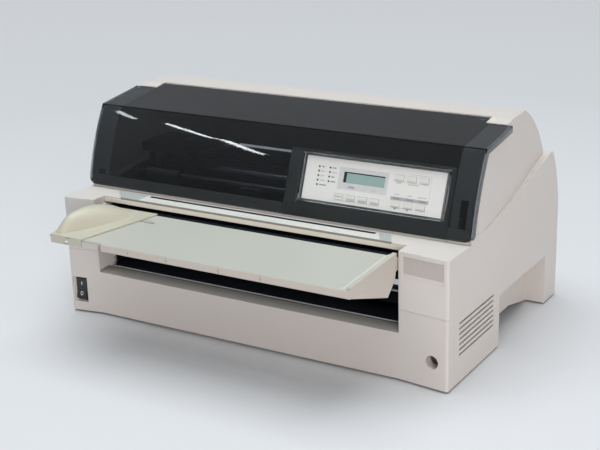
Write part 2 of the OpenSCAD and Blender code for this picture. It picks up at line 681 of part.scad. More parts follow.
face_x = [window_x + face_margin, window_x + window_w - face_margin];
face_s = [window_s + 2, window_s + window_h - 2];
lcd_box = [[lcd_at[0] - lcd_w / 2, lcd_at[1] - lcd_h / 2], [lcd_at[0] + lcd_w / 2, lcd_at[1] + lcd_h / 2]];
wall_in_w = -housing_front - housing_wall;
board_w = -board_depth;

// Openings through the panel for the keys, the display and the lamps
module panel_holes(w0, w1) {
    for (k = concat(low_keys, top_keys, right_keys))
        chord_box(k[0] - key_w / 2 - key_clear, k[0] + key_w / 2 + key_clear,
                  k[1] - key_h / 2 - key_clear, k[1] + key_h / 2 + key_clear, w0, w1);
    chord_box(lcd_box[0][0] - 0.2, lcd_box[1][0] + 0.2, lcd_box[0][1] - 0.2, lcd_box[1][1] + 0.2, w0, w1);
    for (l = lamps) chord_rod(l[0], l[1], lamp_r + 0.2, w0, w1);
}

module panel_housing() color("#3b3e40") placed() difference() {
    chord_box(housing_x0, housing_x1, -20, housing_top_s, -housing_front - housing_d, -housing_front);
    chord_box(housing_x0 + housing_wall, housing_x1 - housing_wall, 4, housing_top_s - housing_wall,
              -housing_front - housing_d + housing_wall, wall_in_w);
    panel_holes(wall_in_w - 1, -housing_front + 1);
    box([0, 0, 0], [hw, 300, deck_z]);
    // Cable opening in the rear
    chord_box(housing_x0 + 20, housing_x0 + 60, 20, 34, -housing_front - housing_d - 1, -housing_front - housing_d + 4);
}

module panel_face() color("#dddfdc") placed() difference() {
    chord_box(face_x[0], face_x[1], face_s[0], face_s[1], -housing_front, -face_depth);
    panel_holes(-housing_front - 1, -face_depth + 1);
}

module lcd_window() color("#8aa5a0") placed()
    chord_box(lcd_box[0][0], lcd_box[1][0], lcd_box[0][1], lcd_box[1][1], -housing_front - 2, -face_depth - 0.2);

module status_lamps() color("#7f8f55") placed()
    for (l = lamps) chord_rod(l[0], l[1], lamp_r, board_w, -face_depth + 0.3);

module panel_board() color("#2f5a3c") placed() {
    chord_box(face_x[0] + 6, face_x[1] - 3, window_s + 5, window_s + window_h - 5, board_w - board_t, board_w);
    for (k = concat(low_keys, top_keys, right_keys)) {
        chord_box(k[0] - 3, k[0] + 3, k[1] - 3, k[1] + 3, board_w - 0.2, board_w + 1.4);
        chord_rod(k[0], k[1], 1.7, board_w + 1,
                  -housing_front - housing_wall - seam - key_flange_t - key_travel - 0.3);
    }
    // Display module behind the window
    chord_box(lcd_box[0][0] - 5, lcd_box[1][0] + 5, lcd_box[0][1] - 7, lcd_box[1][1] + 6, board_w - 0.2, wall_in_w - 0.2);
    for (x = [face_x[0] + 10, face_x[1] - 8], s = [window_s + 9, window_s + window_h - 9])
        chord_rod(x, s, 2.2, board_w - 0.5, wall_in_w);
}

module key(at) color("#c9ccc8") placed() {
    chord_box(at[0] - key_w / 2, at[0] + key_w / 2, at[1] - key_h / 2, at[1] + key_h / 2,
              wall_in_w - seam - 0.2, key_proud - face_depth);
    chord_box(at[0] - key_w / 2 - 1.2, at[0] + key_w / 2 + 1.2, at[1] - key_h / 2 - 1.2, at[1] + key_h / 2 + 1.2,
              wall_in_w - seam - key_flange_t, wall_in_w - seam);
}

module low_key_1() key(low_keys[0]);
module low_key_2() key(low_keys[1]);
module low_key_3() key(low_keys[2]);
module low_key_4() key(low_keys[3]);
module top_key_1() key(top_keys[0]);
module top_key_2() key(top_keys[1]);
module top_key_3() key(top_keys[2]);
module right_key_1() key(right_keys[0]);
module right_key_2() key(right_keys[1]);
module right_key_3() key(right_keys[2]);

// ---- Power switch ----
rocker_pivot = [recess_y, switch_at[1]];
rocker_rest = -6;
rocker_half = switch_h / 2 - 0.7;
rocker_pin_r = 1.5;

module switch_body() color("#1c1d1f") placed() difference() {
    translate([switch_at[0] - switch_out[0] / 2, switch_front, switch_at[1] - switch_out[1] / 2])
        cube([switch_out[0], 25, switch_out[1]]);
    box([switch_at[0] - rocker_w / 2 - 0.3, 0, switch_at[1] - switch_h / 2 - 0.3],
        [switch_at[0] + rocker_w / 2 + 0.3, switch_front + 18, switch_at[1] + switch_h / 2 + 0.3]);
    rod_x(switch_at[0] - switch_out[0] / 2 - 1, switch_at[0] + switch_out[0] / 2 + 1,
          rocker_pivot, rocker_pin_r + run);
}

module power_rocker() color("#232426") placed()
    translate([0, rocker_pivot[0], rocker_pivot[1]]) rotate([rocker_rest, 0, 0]) {
        prism_x(switch_at[0] - rocker_w / 2, switch_at[0] + rocker_w / 2)
            polygon([[-5, rocker_half], [-3, 0], [-5, -rocker_half], [0, -rocker_half],
                     [6, -4], [6, 4], [0, rocker_half]]);
        rod_x(switch_at[0] - rocker_w / 2 - 1.1, switch_at[0] + rocker_w / 2 + 1.1, [0, 0], rocker_pin_r);
    }

// ---- Paper table ----
table_v = table_reach + table_rear_y;
tab_x = [left_in + 70, left_in + 102];
cheek = [[table_rear_y - 3, table_front_z + 9.6], [-table_reach + 2.4, table_front_z + rim_h],
         [-table_reach + 2, table_front_z - lip_h], [-17.5, table_front_z - 44], [2.8, table_front_z - 26],
         [7.2, table_front_z - 9.3]];
arm = [[-6, table_front_z - 17], [-6, table_front_z - 1], [table_rear_y, table_front_z], [17, table_front_z - 1.5],
       [table_pivot[0] + 10, table_pivot[1] + 3.9], [table_pivot[0] + 10, table_pivot[1] - 3],
       [table_pivot[0], table_pivot[1] - 6]];

module paper_table() color("#cdd2c8") placed() {
    difference() {
        union() {
            table_box(table_x0, table_x1, 0, table_v, -table_t, 0);
            table_box(lip_x, table_x1, 0, 2.5, -lip_h, -1);
            // Ribs below the plate
            for (x = concat([table_x0 + 20], [for (i = [0:3]) lip_x + 30 + i * (table_x1 - lip_x - 122) / 3]))
                table_box(x, x + 2, 6, table_v - 2, -table_t - 5, -1);
            table_box(table_x0, table_x1, table_v - 3, table_v, -table_t - 5, -1);
        }
        table_box(table_x0 - 1, lip_x, -1, 4, -table_t - 1, 1);
        for (x = [48, 112, 197, 262]) translate([lip_x, 0, 0]) table_box(x - 0.3, x + 0.3, -1, 0.6, -lip_h - 1, 1);
        on_table() translate([0, table_reach + guide_groove_y, -20]) linear_extrude(30)
            translate([tab_x[0] - 3, 0]) slot(guide_travel + tab_x[1] - tab_x[0] + 10, groove_w);
    }
    prism_x(table_x1 - 3, table_x1) polygon(cheek);
    prism_x(table_x1 - 6, table_x1 - 1)
        polygon([cheek[0], cheek[1], [-table_reach + 2.4, table_front_z - 1], [table_rear_y - 3, table_front_z + 2]]);
    prism_x(table_x1 - 3, table_x1) polygon(arm);
    prism_x(left_in + 3, left_in + 6) polygon(arm);
    // Carrier of the left pivot under the paper guide
    box([left_in + 4, -6, table_front_z - 9], [table_x0 + 4, 8, table_front_z + 1]);
    rod_x(table_x1 - 1, right_in + wall - 0.5, table_pivot, table_pin_r);
    rod_x(left_in - wall + 0.5, left_in + 4, table_pivot, table_pin_r);
}

// Stations of the guide's fin: distance from the table's front edge, right and left edges from the tower, height
fin_reach = (table_reach + 10) / 130;
fin = [for (s = [[8, 46, 27, 1.7 / 26], [16, 50, 24, 12 / 26], [24, 54, 22, 20 / 26], [34, 60, 18, 24 / 26],
                 [50, 68, 15, 1], [64, 74, 12, 25.6 / 26], [78, 80, 9, 24 / 26], [92, 84, 7, 20 / 26],
                 [106, 86, 5, 15 / 26], [118, 87, 6, 8 / 26], [130, 88, 8, 2 / 26]])
           [s[0] * fin_reach, left_in + s[1], left_in + s[2], s[3]]];
fin_steps = 12;
fin_base = guide_clear + guide_base_t;

// A closed tent through the stations, grown or shrunk by `less`
module fin_body(less, floor_h) {
    rows = [for (s = fin) let (x0 = s[1] - less, x1 = s[2] + less, h = max(s[3] * fin_h - less, 0.2))
            concat([for (i = [0:fin_steps]) let (t = i / fin_steps)
                       [x0 + (x1 - x0) * t, s[0], fin_base - 1 + h * pow(sin(180 * pow(t, 0.8)), 0.85)]],
                   [[x1, s[0], floor_h], [x0, s[0], floor_h]])];
    n = fin_steps + 3;
    last = len(fin) - 1;
    points = [for (r = rows) for (p = r) p];
    faces = concat([for (i = [0:n - 3]) [n - 1, i + 1, i]],
                   [for (i = [0:n - 3]) [last * n + n - 1, last * n + i, last * n + i + 1]],
                   [for (r = [0:last - 1], i = [0:n - 1]) each let (j = (i + 1) % n)
                       [[r * n + i, (r + 1) * n + j, (r + 1) * n + i], [r * n + i, r * n + j, (r + 1) * n + j]]]);
    on_table() polyhedron(points, faces);
}

module paper_guide() color("#c9c4b1") placed() difference() {
    union() {
        on_table() translate([0, 0, guide_clear]) linear_extrude(guide_base_t)
            polygon(concat([[left_in + 26, 0.1], [left_in + 82, 0.1], [left_in + 115, table_reach + 7.5],
                            [left_in + 115, table_reach + guide_rear_y - 1],
                            [left_in + 8, table_reach + guide_rear_y - 1]],
                           [for (s = reversed(fin)) [s[2] - 0.7, s[0]]]));
        fin_body(0, guide_clear + 0.1);
        // Skirt over the table's front edge
        table_box(left_in + 26.5, left_in + 81.5, 0.3, 2.5, -lip_h, guide_clear + 1);
        // Tab in the table's groove with its foot below
        table_box(tab_x[0], tab_x[1], table_reach + guide_groove_y - groove_w / 2 + 0.3,
                  table_reach + guide_groove_y + groove_w / 2 - 0.3, -table_t - 1.6, guide_clear + 1);
        table_box(tab_x[0] + 4, tab_x[1] - 4, table_reach + guide_groove_y - groove_w / 2 - 1.5,
                  table_reach + guide_groove_y + groove_w / 2 + 1.5, -table_t - 1.6, -table_t - 0.4);
    }
    intersection() {
        fin_body(2, -5);
        table_box(left_in - 33, left_in + 117, 12, table_reach + 4, -1, fin_h);
    }
    table_box(left_in + 50, left_in + 58, -1, 4, -lip_h + 2, -lip_h + 6);
}

// ---- Print mechanism ----
frame_outline = [[frame_front_y, floor_z], [notch_y - 9, floor_z], [notch_y - 3.5, floor_z + floor_rise + 0.2],
                 [tray_flat_end + 3, floor_z + floor_rise + 0.2], [pocket_rear, floor_z], [frame_rear_y, floor_z],
                 [frame_rear_y, paper_z + 18], [pulley_y + 28, paper_z + 18], [pulley_y + 28, carriage_shaft_z + 10],
                 [front_roller_y - 2, carriage_shaft_z + 10], [front_roller_y - 2, strip_z - 8],
                 [frame_front_y, strip_z - 8]];
pinch_shaft_r = 2.5;
motor_shaft_r = 2.5;
tractor_journal_r = 4;
bracket_x = gear_x + gear_w + 2;

module frame_sheet(x0) difference() {
    prism_x(x0, x0 + frame_t) polygon(frame_outline);
    for (p = [front_roller, rear_roller]) rod_x(x0 - 1, x0 + frame_t + 1, p, journal_r + run);
    for (y = [front_roller_y, rear_roller_y])
        rod_x(x0 - 1, x0 + frame_t + 1, [y, pinch_z], pinch_shaft_r + run);
    rod_x(x0 - 1, x0 + frame_t + 1, tractor_axis, tractor_journal_r + run);
    rod_x(x0 - 1, x0 + frame_t + 1, support_shaft, support_r);
    rod_x(x0 - 1, x0 + frame_t + 1, [main_shaft_y, carriage_shaft_z], main_shaft_r);
    rod_x(x0 - 1, x0 + frame_t + 1, [front_shaft_y, carriage_shaft_z], front_shaft_r);
}

module left_frame() color("#b4b8bb") placed() frame_sheet(frame_l_in - frame_t);

module right_frame() color("#b4b8bb") placed() {
    frame_sheet(frame_r_in);
    for (p = [idler, tractor_idler]) rod_x(frame_right - 0.5, gear_x + gear_w + 1.3, p, stud_r);
    // Bracket of the feed motor
    difference() {
        union() {
            box([bracket_x, pinion[0] - 27, pinion[1] - 25], [bracket_x + frame_t, pinion[0] + 27, pinion[1] + 25]);
            box([frame_right - 0.5, pinion[0] - 27, pinion[1] - 27],
                [bracket_x + frame_t, pinion[0] + 27, pinion[1] - 25]);
        }
        rod_x(bracket_x - 1, bracket_x + frame_t + 1, pinion, 11);
    }
}

module platen() color("#2a2c2e") placed() {
    box([frame_l_in, platen_y - 6.5, paper_z - 22], [frame_r_in, platen_y + 6.5, paper_z - 0.3]);
    box([frame_l_in, front_roller_y + feed_r + 2, paper_z - 4],
        [frame_r_in, rear_roller_y - feed_r - 2, paper_z - 2]);
}

module paper_plates() color("#8d9194") placed() {
    box([frame_l_in, bar_y - 1, paper_z - 2], [frame_r_in, front_roller_y - 18, paper_z - 0.5]);
    box([frame_l_in, front_roller_y - 19.5, paper_z - 8], [frame_r_in, front_roller_y - 18, paper_z - 1]);
    prism_x(frame_l_in, frame_r_in)
        strip([[bar_y + 3, sill_z + 3], [front_roller_y - 30, sill_z + 10], [front_roller_y - 18, sill_z + 26],
               [front_roller_y - 12, paper_z - 32], [front_roller_y - 11, paper_z - 12]], 1.2);
    box([frame_l_in, rear_roller_y + feed_r + 2, paper_z - 2], [frame_r_in, body_d - 8, paper_z - 0.5]);
    box([frame_l_in, pulley_y + 30, paper_z + 7], [frame_r_in, body_d - 14, paper_z + 8.5]);
}

beam_y = [pulley_y - 24, pulley_y + 24];

module carriage_rails() color("#c5c9cc") placed() {
    rod_x(frame_l_in - frame_t, frame_right, [main_shaft_y, carriage_shaft_z], main_shaft_r);
    rod_x(frame_l_in - frame_t, frame_right, [front_shaft_y, carriage_shaft_z], front_shaft_r);
    rod_x(frame_l_in - frame_t, frame_right, support_shaft, support_r);
    difference() {
        union() {
            box([frame_l_in, beam_y[0], beam_z], [frame_r_in, beam_y[1], beam_z + 2]);
            box([frame_l_in, beam_y[1] - 2, beam_z - 12], [frame_r_in, beam_y[1], beam_z + 1]);
        }
        translate([drive_pulley_x, pulley_y, beam_z - 1]) cylinder(r = 6, h = 5);
    }
    translate([idler_pulley_x, pulley_y, beam_z + 1]) cylinder(r = stud_r, h = 12);
}

// ---- Gears ----
pressure = 20;
root_m = 1.25;
tip_m = 0.95;
function inv(a) = tan(a) * 180 / PI - a;
// Half the angle of a tooth at radius r, for n teeth
function tooth_half(r, n) =
    let (rp = gear_m * n / 2, rb = rp * cos(pressure), play = backlash / 4 / rp * 180 / PI)
    90 / n - play + inv(pressure) - (r > rb ? inv(acos(rb / r)) : 0);

module gear_2d(n) {
    rp = gear_m * n / 2;
    rb = rp * cos(pressure);
    root = rp - root_m * gear_m;
    tip = rp + tip_m * gear_m;
    radii = concat(root < rb ? [root, rb] : [root], [rp, (rp + tip) / 2, tip]);
    narrow = [for (r = radii) r < rb ? 0.88 : 1];
    k = len(radii) - 1;
    polygon([for (i = [0:n - 1]) each concat(
        [for (j = [0:k]) let (a = 360 * i / n - narrow[j] * tooth_half(radii[j], n)) radii[j] * [cos(a), sin(a)]],
        [for (j = [k:-1:0]) let (a = 360 * i / n + narrow[j] * tooth_half(radii[j], n)) radii[j] * [cos(a), sin(a)]])]);
}

function toward(a, b) = atan2(b[1] - a[1], b[0] - a[0]);
// Angle of the second gear whose gap takes the tooth of the first
function mesh_phase(theta, n1, phase1, n2) = theta + 180 - 360 / n2 * (0.5 - (theta - phase1) * n1 / 360);

idler_phase = mesh_phase(toward(front_roller, idler), roller_teeth, 0, idler_teeth);
rear_phase = mesh_phase(toward(idler, rear_roller), idler_teeth, idler_phase, roller_teeth);
tractor_idler_phase = mesh_phase(toward(front_roller, tractor_idler), roller_teeth, 0, idler_teeth);
tractor_phase = mesh_phase(toward(tractor_idler, tractor_axis), idler_teeth, tractor_idler_phase, tractor_teeth);
pinion_phase = mesh_phase(toward(front_roller, pinion), roller_teeth, 0, pinion_teeth);

module gear(n, phase, at)
    translate([0, at[0], at[1]]) prism_x(gear_x, gear_x + gear_w) rotate(phase) gear_2d(n);

shaft_end = gear_x + gear_w + 1;
drum_count = 6;
drum_pitch = (frame_r_in - frame_l_in - 1) / drum_count;

module feed_roller(at, phase) {
    rod_x(frame_l_in - frame_t - 1, frame_l_in + 1, at, journal_r);
    rod_x(frame_l_in + 0.5, frame_r_in - 0.5, at, journal_r + 1);
    rod_x(frame_r_in - 1, shaft_end, at, journal_r);
    for (i = [0:drum_count - 1])
        rod_x(frame_l_in + 3 + i * drum_pitch, frame_l_in + i * drum_pitch + drum_pitch - 3, at, feed_r);
    gear(roller_teeth, phase, at);
}

module pinch_row(y) {
    rod_x(frame_l_in - frame_t, frame_right, [y, pinch_z], pinch_shaft_r);
    for (i = [0:drum_count - 1])
        rod_x(frame_l_in + 20 + i * drum_pitch, frame_l_in + i * drum_pitch + drum_pitch - 20, [y, pinch_z], pinch_r);
}

module front_feed_roller() color("#34363a") placed() feed_roller(front_roller, 0);
module rear_feed_roller() color("#34363a") placed() feed_roller(rear_roller, rear_phase);
module front_pinch_rollers() color("#3a3c40") placed() pinch_row(front_roller_y);
module rear_pinch_rollers() color("#3a3c40") placed() pinch_row(rear_roller_y);

module idler_gear(at, phase) difference() {
    gear(idler_teeth, phase, at);
    rod_x(gear_x - 1, gear_x + gear_w + 1, at, stud_r + run);
}

module feed_idler_gear() color("#e4e2da") placed() idler_gear(idler, idler_phase);
module tractor_idler_gear() color("#e4e2da") placed() idler_gear(tractor_idler, tractor_idler_phase);

module motor_pinion() color("#d8b25a") placed() {
    gear(pinion_teeth, pinion_phase, pinion);
    rod_x(gear_x + gear_w - 1, bracket_x + frame_t + 16, pinion, motor_shaft_r);
}

motor_l = 38;
motor_x = bracket_x + frame_t;

module feed_motor() color("#303236") placed() difference() {
    union() {
        box([motor_x, pinion[0] - motor_w / 2, pinion[1] - motor_w / 2],
            [motor_x + 8, pinion[0] + motor_w / 2, pinion[1] + motor_w / 2]);
        rod_x(motor_x + 7, motor_x + motor_l - 8, pinion, motor_w / 2 - 0.5);
        box([motor_x + motor_l - 9, pinion[0] - motor_w / 2, pinion[1] - motor_w / 2],
            [motor_x + motor_l, pinion[0] + motor_w / 2, pinion[1] + motor_w / 2]);
    }
    rod_x(motor_x - 1, motor_x + 17, pinion, motor_shaft_r + run);
}

// ---- Carriage ----
belt_in = pulley_r + 0.3;
belt_out = belt_in + belt_t;
belt_z = [pulley_z - 1, pulley_z + 3];
front_run = [pulley_y - belt_out, pulley_y - belt_in];
carriage_plate = [carriage_shaft_z - 16, carriage_shaft_z - 12];
cartridge_z = carriage_shaft_z + 30;
cartridge_half = 45;
tube_r = main_shaft_r + 3;
front_tube_r = front_shaft_r + 3;
nose_r = 6;

module carriage() color("#3c3f43") placed() translate([carriage_home, 0, 0]) difference() {
    union() {
        rod_x(-carriage_w / 2, carriage_w / 2, [main_shaft_y, carriage_shaft_z], tube_r);
        rod_x(-carriage_w / 2, carriage_w / 2, [front_shaft_y, carriage_shaft_z], front_tube_r);
        box([-carriage_w / 2, front_shaft_y - 4, carriage_plate[0]],
            [carriage_w / 2, main_shaft_y + 6, carriage_plate[1]]);
        box([-carriage_w / 2, front_shaft_y - 4, carriage_plate[0]],
            [carriage_w / 2, front_shaft_y + 3, carriage_shaft_z]);
        box([-carriage_w / 2, main_shaft_y - 5, carriage_plate[0]],
            [carriage_w / 2, main_shaft_y + 6, carriage_shaft_z]);
        // Posts under the ribbon cartridge
        for (x = [-carriage_w / 2, carriage_w / 2 - 5])
            box([x, main_shaft_y - 5, carriage_shaft_z], [x + 5, main_shaft_y + 5, cartridge_z]);
        // Arm over the beam with the belt clamp
        box([-8, main_shaft_y - 4, carriage_shaft_z], [8, main_shaft_y + 4, belt_z[1] + 4]);
        box([-8, main_shaft_y, belt_z[1] + 1], [8, front_run[1] + 4, belt_z[1] + 4]);
        box([-8, front_run[0] - 2.5, belt_z[0] - 1], [8, front_run[0] - 0.3, belt_z[1] + 2]);
        box([-8, front_run[1] + 0.3, belt_z[0] - 1], [8, front_run[1] + 2.5, belt_z[1] + 2]);
    }
    rod_x(-carriage_w, carriage_w, [main_shaft_y, carriage_shaft_z], main_shaft_r + run);
    rod_x(-carriage_w, carriage_w, [front_shaft_y, carriage_shaft_z], front_shaft_r + run);
    translate([0, platen_y, carriage_plate[0] - 1]) cylinder(r = nose_r + 0.5, h = 6);
}

module print_head() color("#1f2123") placed() translate([carriage_home, platen_y, 0]) {
    translate([0, 0, carriage_plate[1]]) cylinder(r = head_r - 2.5, h = 38);
    for (i = [0:6]) translate([0, 0, carriage_plate[1] + 3 + i * 5]) cylinder(r = head_r, h = 2.4);
    translate([0, 0, paper_z + 2.5]) cylinder(r = nose_r - 2, h = 12);
    translate([0, 0, paper_z + 12]) cylinder(r = nose_r, h = carriage_plate[1] - paper_z - 11);
}

module ribbon_cartridge() color("#17181a") placed() translate([carriage_home, 0, 0]) {
    box([-cartridge_half, platen_y - 19, cartridge_z], [cartridge_half, platen_y + 50, cartridge_z + 14]);
    both_sides() {
        box([cartridge_half - 7, platen_y - 5, paper_z + 5], [cartridge_half - 3, platen_y + 5, cartridge_z + 1]);
        box([cartridge_half - 7, platen_y - 1, paper_z + 0.9], [cartridge_half - 3, platen_y + 1, paper_z + 6]);
    }
    // Ribbon in front of the print head
    box([-cartridge_half + 5, platen_y - 3, paper_z + 0.9], [cartridge_half - 5, platen_y + 3, paper_z + 1.3]);
    translate([24, platen_y + 20, cartridge_z + 13]) cylinder(r = 8, h = 5);
}

module carriage_motor() color("#303236") placed() difference() {
    union() {
        box([drive_pulley_x - motor_w / 2, pulley_y - motor_w / 2, beam_z - 22],
            [drive_pulley_x + motor_w / 2, pulley_y + motor_w / 2, beam_z]);
    }
    translate([drive_pulley_x, pulley_y, beam_z - 15]) cylinder(r = motor_shaft_r + run, h = 20);
}

module pulley(x) translate([x, pulley_y, 0]) {
    translate([0, 0, belt_z[0] - 1.1]) cylinder(r = pulley_r + 2, h = 0.8);
    translate([0, 0, belt_z[0] - 0.5]) cylinder(r = pulley_r, h = belt_z[1] - belt_z[0] + 1);
    translate([0, 0, belt_z[1] + 0.3]) cylinder(r = pulley_r + 2, h = 0.8);
}

module drive_pulley() color("#c9ccd0") placed() {
    pulley(drive_pulley_x);
    translate([drive_pulley_x, pulley_y, beam_z - 13]) cylinder(r = motor_shaft_r, h = belt_z[0] - beam_z + 14);
}

module idler_pulley() color("#c9ccd0") placed() difference() {
    pulley(idler_pulley_x);
    translate([idler_pulley_x, pulley_y, belt_z[0] - 3]) cylinder(r = stud_r + run, h = 12);
}

module belt_loop(r) {
    for (x = [drive_pulley_x, idler_pulley_x]) translate([x, pulley_y]) circle(r = r);
    translate([drive_pulley_x, pulley_y - r]) square([idler_pulley_x - drive_pulley_x, 2 * r]);
}

module drive_belt() color("#141415") placed()
    translate([0, 0, belt_z[0]]) linear_extrude(belt_z[1] - belt_z[0]) difference() {
        belt_loop(belt_out);
        belt_loop(belt_in);
    }

// ---- Tractors ----
sprocket_drum_r = pin_circle - 1.6;
sprocket_tip_r = pin_circle + 1.4;
sprocket_hub_r = square_w * 0.75 + 1;
square_clear = 0.15;
side_t = 3;
side_r = pin_circle + 1;
door_in_r = sprocket_tip_r + 2.5;
door_t = 2;
door_hinge = tractor_axis + [15, 14];
door_pin_r = 1.5;

module tractor_shaft() color("#c8ccce") placed() {
    rod_x(frame_l_in - frame_t - 1, frame_l_in + 3, tractor_axis, tractor_journal_r);
    translate([frame_l_in + 1, tractor_axis[0] - square_w / 2, tractor_axis[1] - square_w / 2])
        cube([frame_r_in - frame_l_in - 2, square_w, square_w]);
    rod_x(frame_r_in - 3, shaft_end, tractor_axis, tractor_journal_r);
    gear(tractor_teeth, tractor_phase, tractor_axis);
}

module tractor_side(x0) difference() {
    union() {
        rod_x(x0, x0 + side_t, tractor_axis, side_r);
        rod_x(x0, x0 + side_t, support_shaft, support_r + 4);
        prism_x(x0, x0 + side_t)
            polygon([tractor_axis + [-side_r, 0], tractor_axis + [side_r, 0], support_shaft + [support_r + 4, 0],
                     support_shaft + [-support_r - 8, -8]]);
        prism_x(x0, x0 + side_t)
            polygon([tractor_axis + [3, 8], tractor_axis + [12, -2], door_hinge + [4, -3], door_hinge + [4, 3],
                     door_hinge + [-1, 3.5]]);
    }
    rod_x(x0 - 1, x0 + side_t + 1, tractor_axis, sprocket_hub_r + run);
    rod_x(x0 - 1, x0 + side_t + 1, support_shaft, support_r + run);
    rod_x(x0 - 1, x0 + side_t + 1, door_hinge, door_pin_r + run);
}

module tractor(x0) {
    tractor_side(x0);
    tractor_side(x0 + tractor_w - side_t);
    // Bridge below the wheel
    difference() {
        rod_x(x0 + 1, x0 + tractor_w - 1, support_shaft, support_r + 3);
        rod_x(x0, x0 + tractor_w, support_shaft, support_r + run);
        rod_x(x0, x0 + tractor_w, tractor_axis, sprocket_tip_r + 1);
    }
}

module tractor_door(x0) {
    arc_in = [for (a = [58:10:168]) tractor_axis + door_in_r * [cos(a), sin(a)]];
    arc_out = [for (a = [168:-10:58]) tractor_axis + (door_in_r + door_t) * [cos(a), sin(a)]];
    prism_x(x0 + 0.5, x0 + tractor_w - 0.5) polygon(concat(arc_in, arc_out));
    rod_x(x0 + side_t + 0.4, x0 + tractor_w - side_t - 0.4, door_hinge, door_pin_r + 1.5);
    prism_x(x0 + side_t + 0.4, x0 + tractor_w - side_t - 0.4)
        polygon([arc_in[0], arc_out[len(arc_out) - 1] + [-2, 1], door_hinge + [0, 3], door_hinge + [0.5, -1.5]]);
    rod_x(x0 + 0.4, x0 + tractor_w - 0.4, door_hinge, door_pin_r);
}

module sprocket(x0) difference() {
    union() {
        rod_x(x0 + side_t + 0.4, x0 + tractor_w - side_t - 0.4, tractor_axis, sprocket_drum_r);
        rod_x(x0 - 0.5, x0 + tractor_w + 0.5, tractor_axis, sprocket_hub_r);
        for (i = [0:pin_count - 1])
            translate([x0 + tractor_w / 2, tractor_axis[0], tractor_axis[1]]) rotate([i * 360 / pin_count, 0, 0])
                cylinder(r = 1.7, h = sprocket_tip_r, $fn = 16);
    }
    translate([x0 - 1, tractor_axis[0] - square_w / 2 - square_clear,
               tractor_axis[1] - square_w / 2 - square_clear])
        cube([tractor_w + 2, square_w + 2 * square_clear, square_w + 2 * square_clear]);
}

module left_tractor() color("#5a5d61") placed() tractor(tractor_x[0]);
module right_tractor() color("#5a5d61") placed() tractor(tractor_x[1]);
module left_tractor_door() color("#6d7074") placed() tractor_door(tractor_x[0]);
module right_tractor_door() color("#6d7074") placed() tractor_door(tractor_x[1]);
module left_sprocket() color("#d6d4ca") placed() sprocket(tractor_x[0]);
module right_sprocket() color("#d6d4ca") placed() sprocket(tractor_x[1]);

// ---- Electrics ----
fan_t = 20;
fan_x = hw - wall - fan_t;
fan_at = [95, 66];
fan_ring_r = fan_w / 2 - 2;
fan_hub_r = 12;
blade_count = 7;

module fan_frame() color("#1d1e20") placed() difference() {
    union() {
        difference() {
            translate([fan_x, fan_at[0] - fan_w / 2, fan_at[1] - fan_w / 2]) cube([fan_t, fan_w, fan_w]);
            rod_x(fan_x - 1, fan_x + fan_t + 1, fan_at, fan_ring_r);
        }
        for (a = [45:90:315])
            translate([fan_x, fan_at[0], fan_at[1]]) rotate([a, 0, 0])
                translate([0, -1.5, 0]) cube([2, 3, fan_ring_r + 2]);
        rod_x(fan_x, fan_x + 3, fan_at, fan_hub_r);
    }
    rod_x(fan_x - 1, fan_x + 4, fan_at, motor_shaft_r + run);
}

module fan_rotor() color("#26282a") placed() {
    rod_x(fan_x + 0.5, fan_x + 8, fan_at, motor_shaft_r);
    rod_x(fan_x + 4, fan_x + fan_t - 3, fan_at, fan_hub_r);
    for (i = [0:blade_count - 1])
        translate([fan_x + 10, fan_at[0], fan_at[1]]) rotate([i * 360 / blade_count, 0, 0])
            translate([0, 0, fan_hub_r - 1]) rotate([0, 0, 35]) translate([-0.8, -7, 0])
                cube([1.6, 14, fan_ring_r - fan_hub_r - 1]);
}

module main_board() color("#2c5b3a") placed() {
    box([board_box[0][0], board_box[0][1], board_z], [board_box[1][0], board_box[1][1], board_z + 1.6]);
    for (c = [[20, 28, 52, 16, 4], [20, 63, 52, 16, 4], [100, 28, 40, 40, 4], [170, 33, 20, 62, 4],
              [210, 33, 20, 62, 4], [245, 43, 24, 24, 10], [20, 113, 70, 10, 9], [120, 103, 14, 60, 8]])
        translate([board_box[0][0] + c[0] * main_board_w / 285, board_box[0][1] + c[1], board_z + 1])
            cube([c[2], c[3], c[4] + 0.6]);
}

module power_supply() color("#9ca1a4") placed() {
    box([supply_box[0][0], supply_box[0][1], supply_z], [supply_box[1][0], supply_box[1][1], supply_z + 2]);
    box([supply_box[0][0], supply_box[0][1], supply_z], [supply_box[0][0] + 2, supply_box[1][1], supply_z + 40]);
    // Transformer, capacitors and heat sink
    translate([supply_box[0][0], supply_box[0][1], supply_z + 1]) {
        translate([15, 28, 0]) cube([60, 65, 49]);
        for (y = [33, 70]) translate([105, y, 0]) cylinder(r = 15, h = 44);
        for (i = [0:6]) translate([130 + i * 7, 23, 4]) cube([2, 115, 35]);
        translate([130, 23, 0]) cube([44, 115, 5]);
    }
}

module ac_inlet() color("#1b1c1d") placed() difference() {
    union() {
        box([inlet_x - 14, body_d - 28, 26], [inlet_x + 14, body_d - 0.5, 50]);
        box([inlet_x - 20, body_d - wall - 2, 23], [inlet_x + 20, body_d - wall, 53]);
    }
    difference() {
        box([inlet_x - 12, body_d - 20, 28], [inlet_x + 12, body_d + 1, 48]);
        for (p = [[-5, 36], [5, 36], [0, 42]])
            translate([inlet_x + p[0], body_d - 22, p[1]]) translate([-1, 0, -2.5]) cube([2, 14, 5]);
    }
}

module interface_connector() color("#b9bcbf") placed() difference() {
    box([connector_x[0], body_d - 34, board_z + 1.6], [connector_x[1], body_d - 0.5, 48]);
    difference() {
        box([connector_x[0] + 4, body_d - 12, board_z + 5], [connector_x[1] - 4, body_d + 1, 45]);
        box([connector_x[0] + 9, body_d - 14, board_z + 8], [connector_x[1] - 9, body_d - 6, 42]);
    }
}

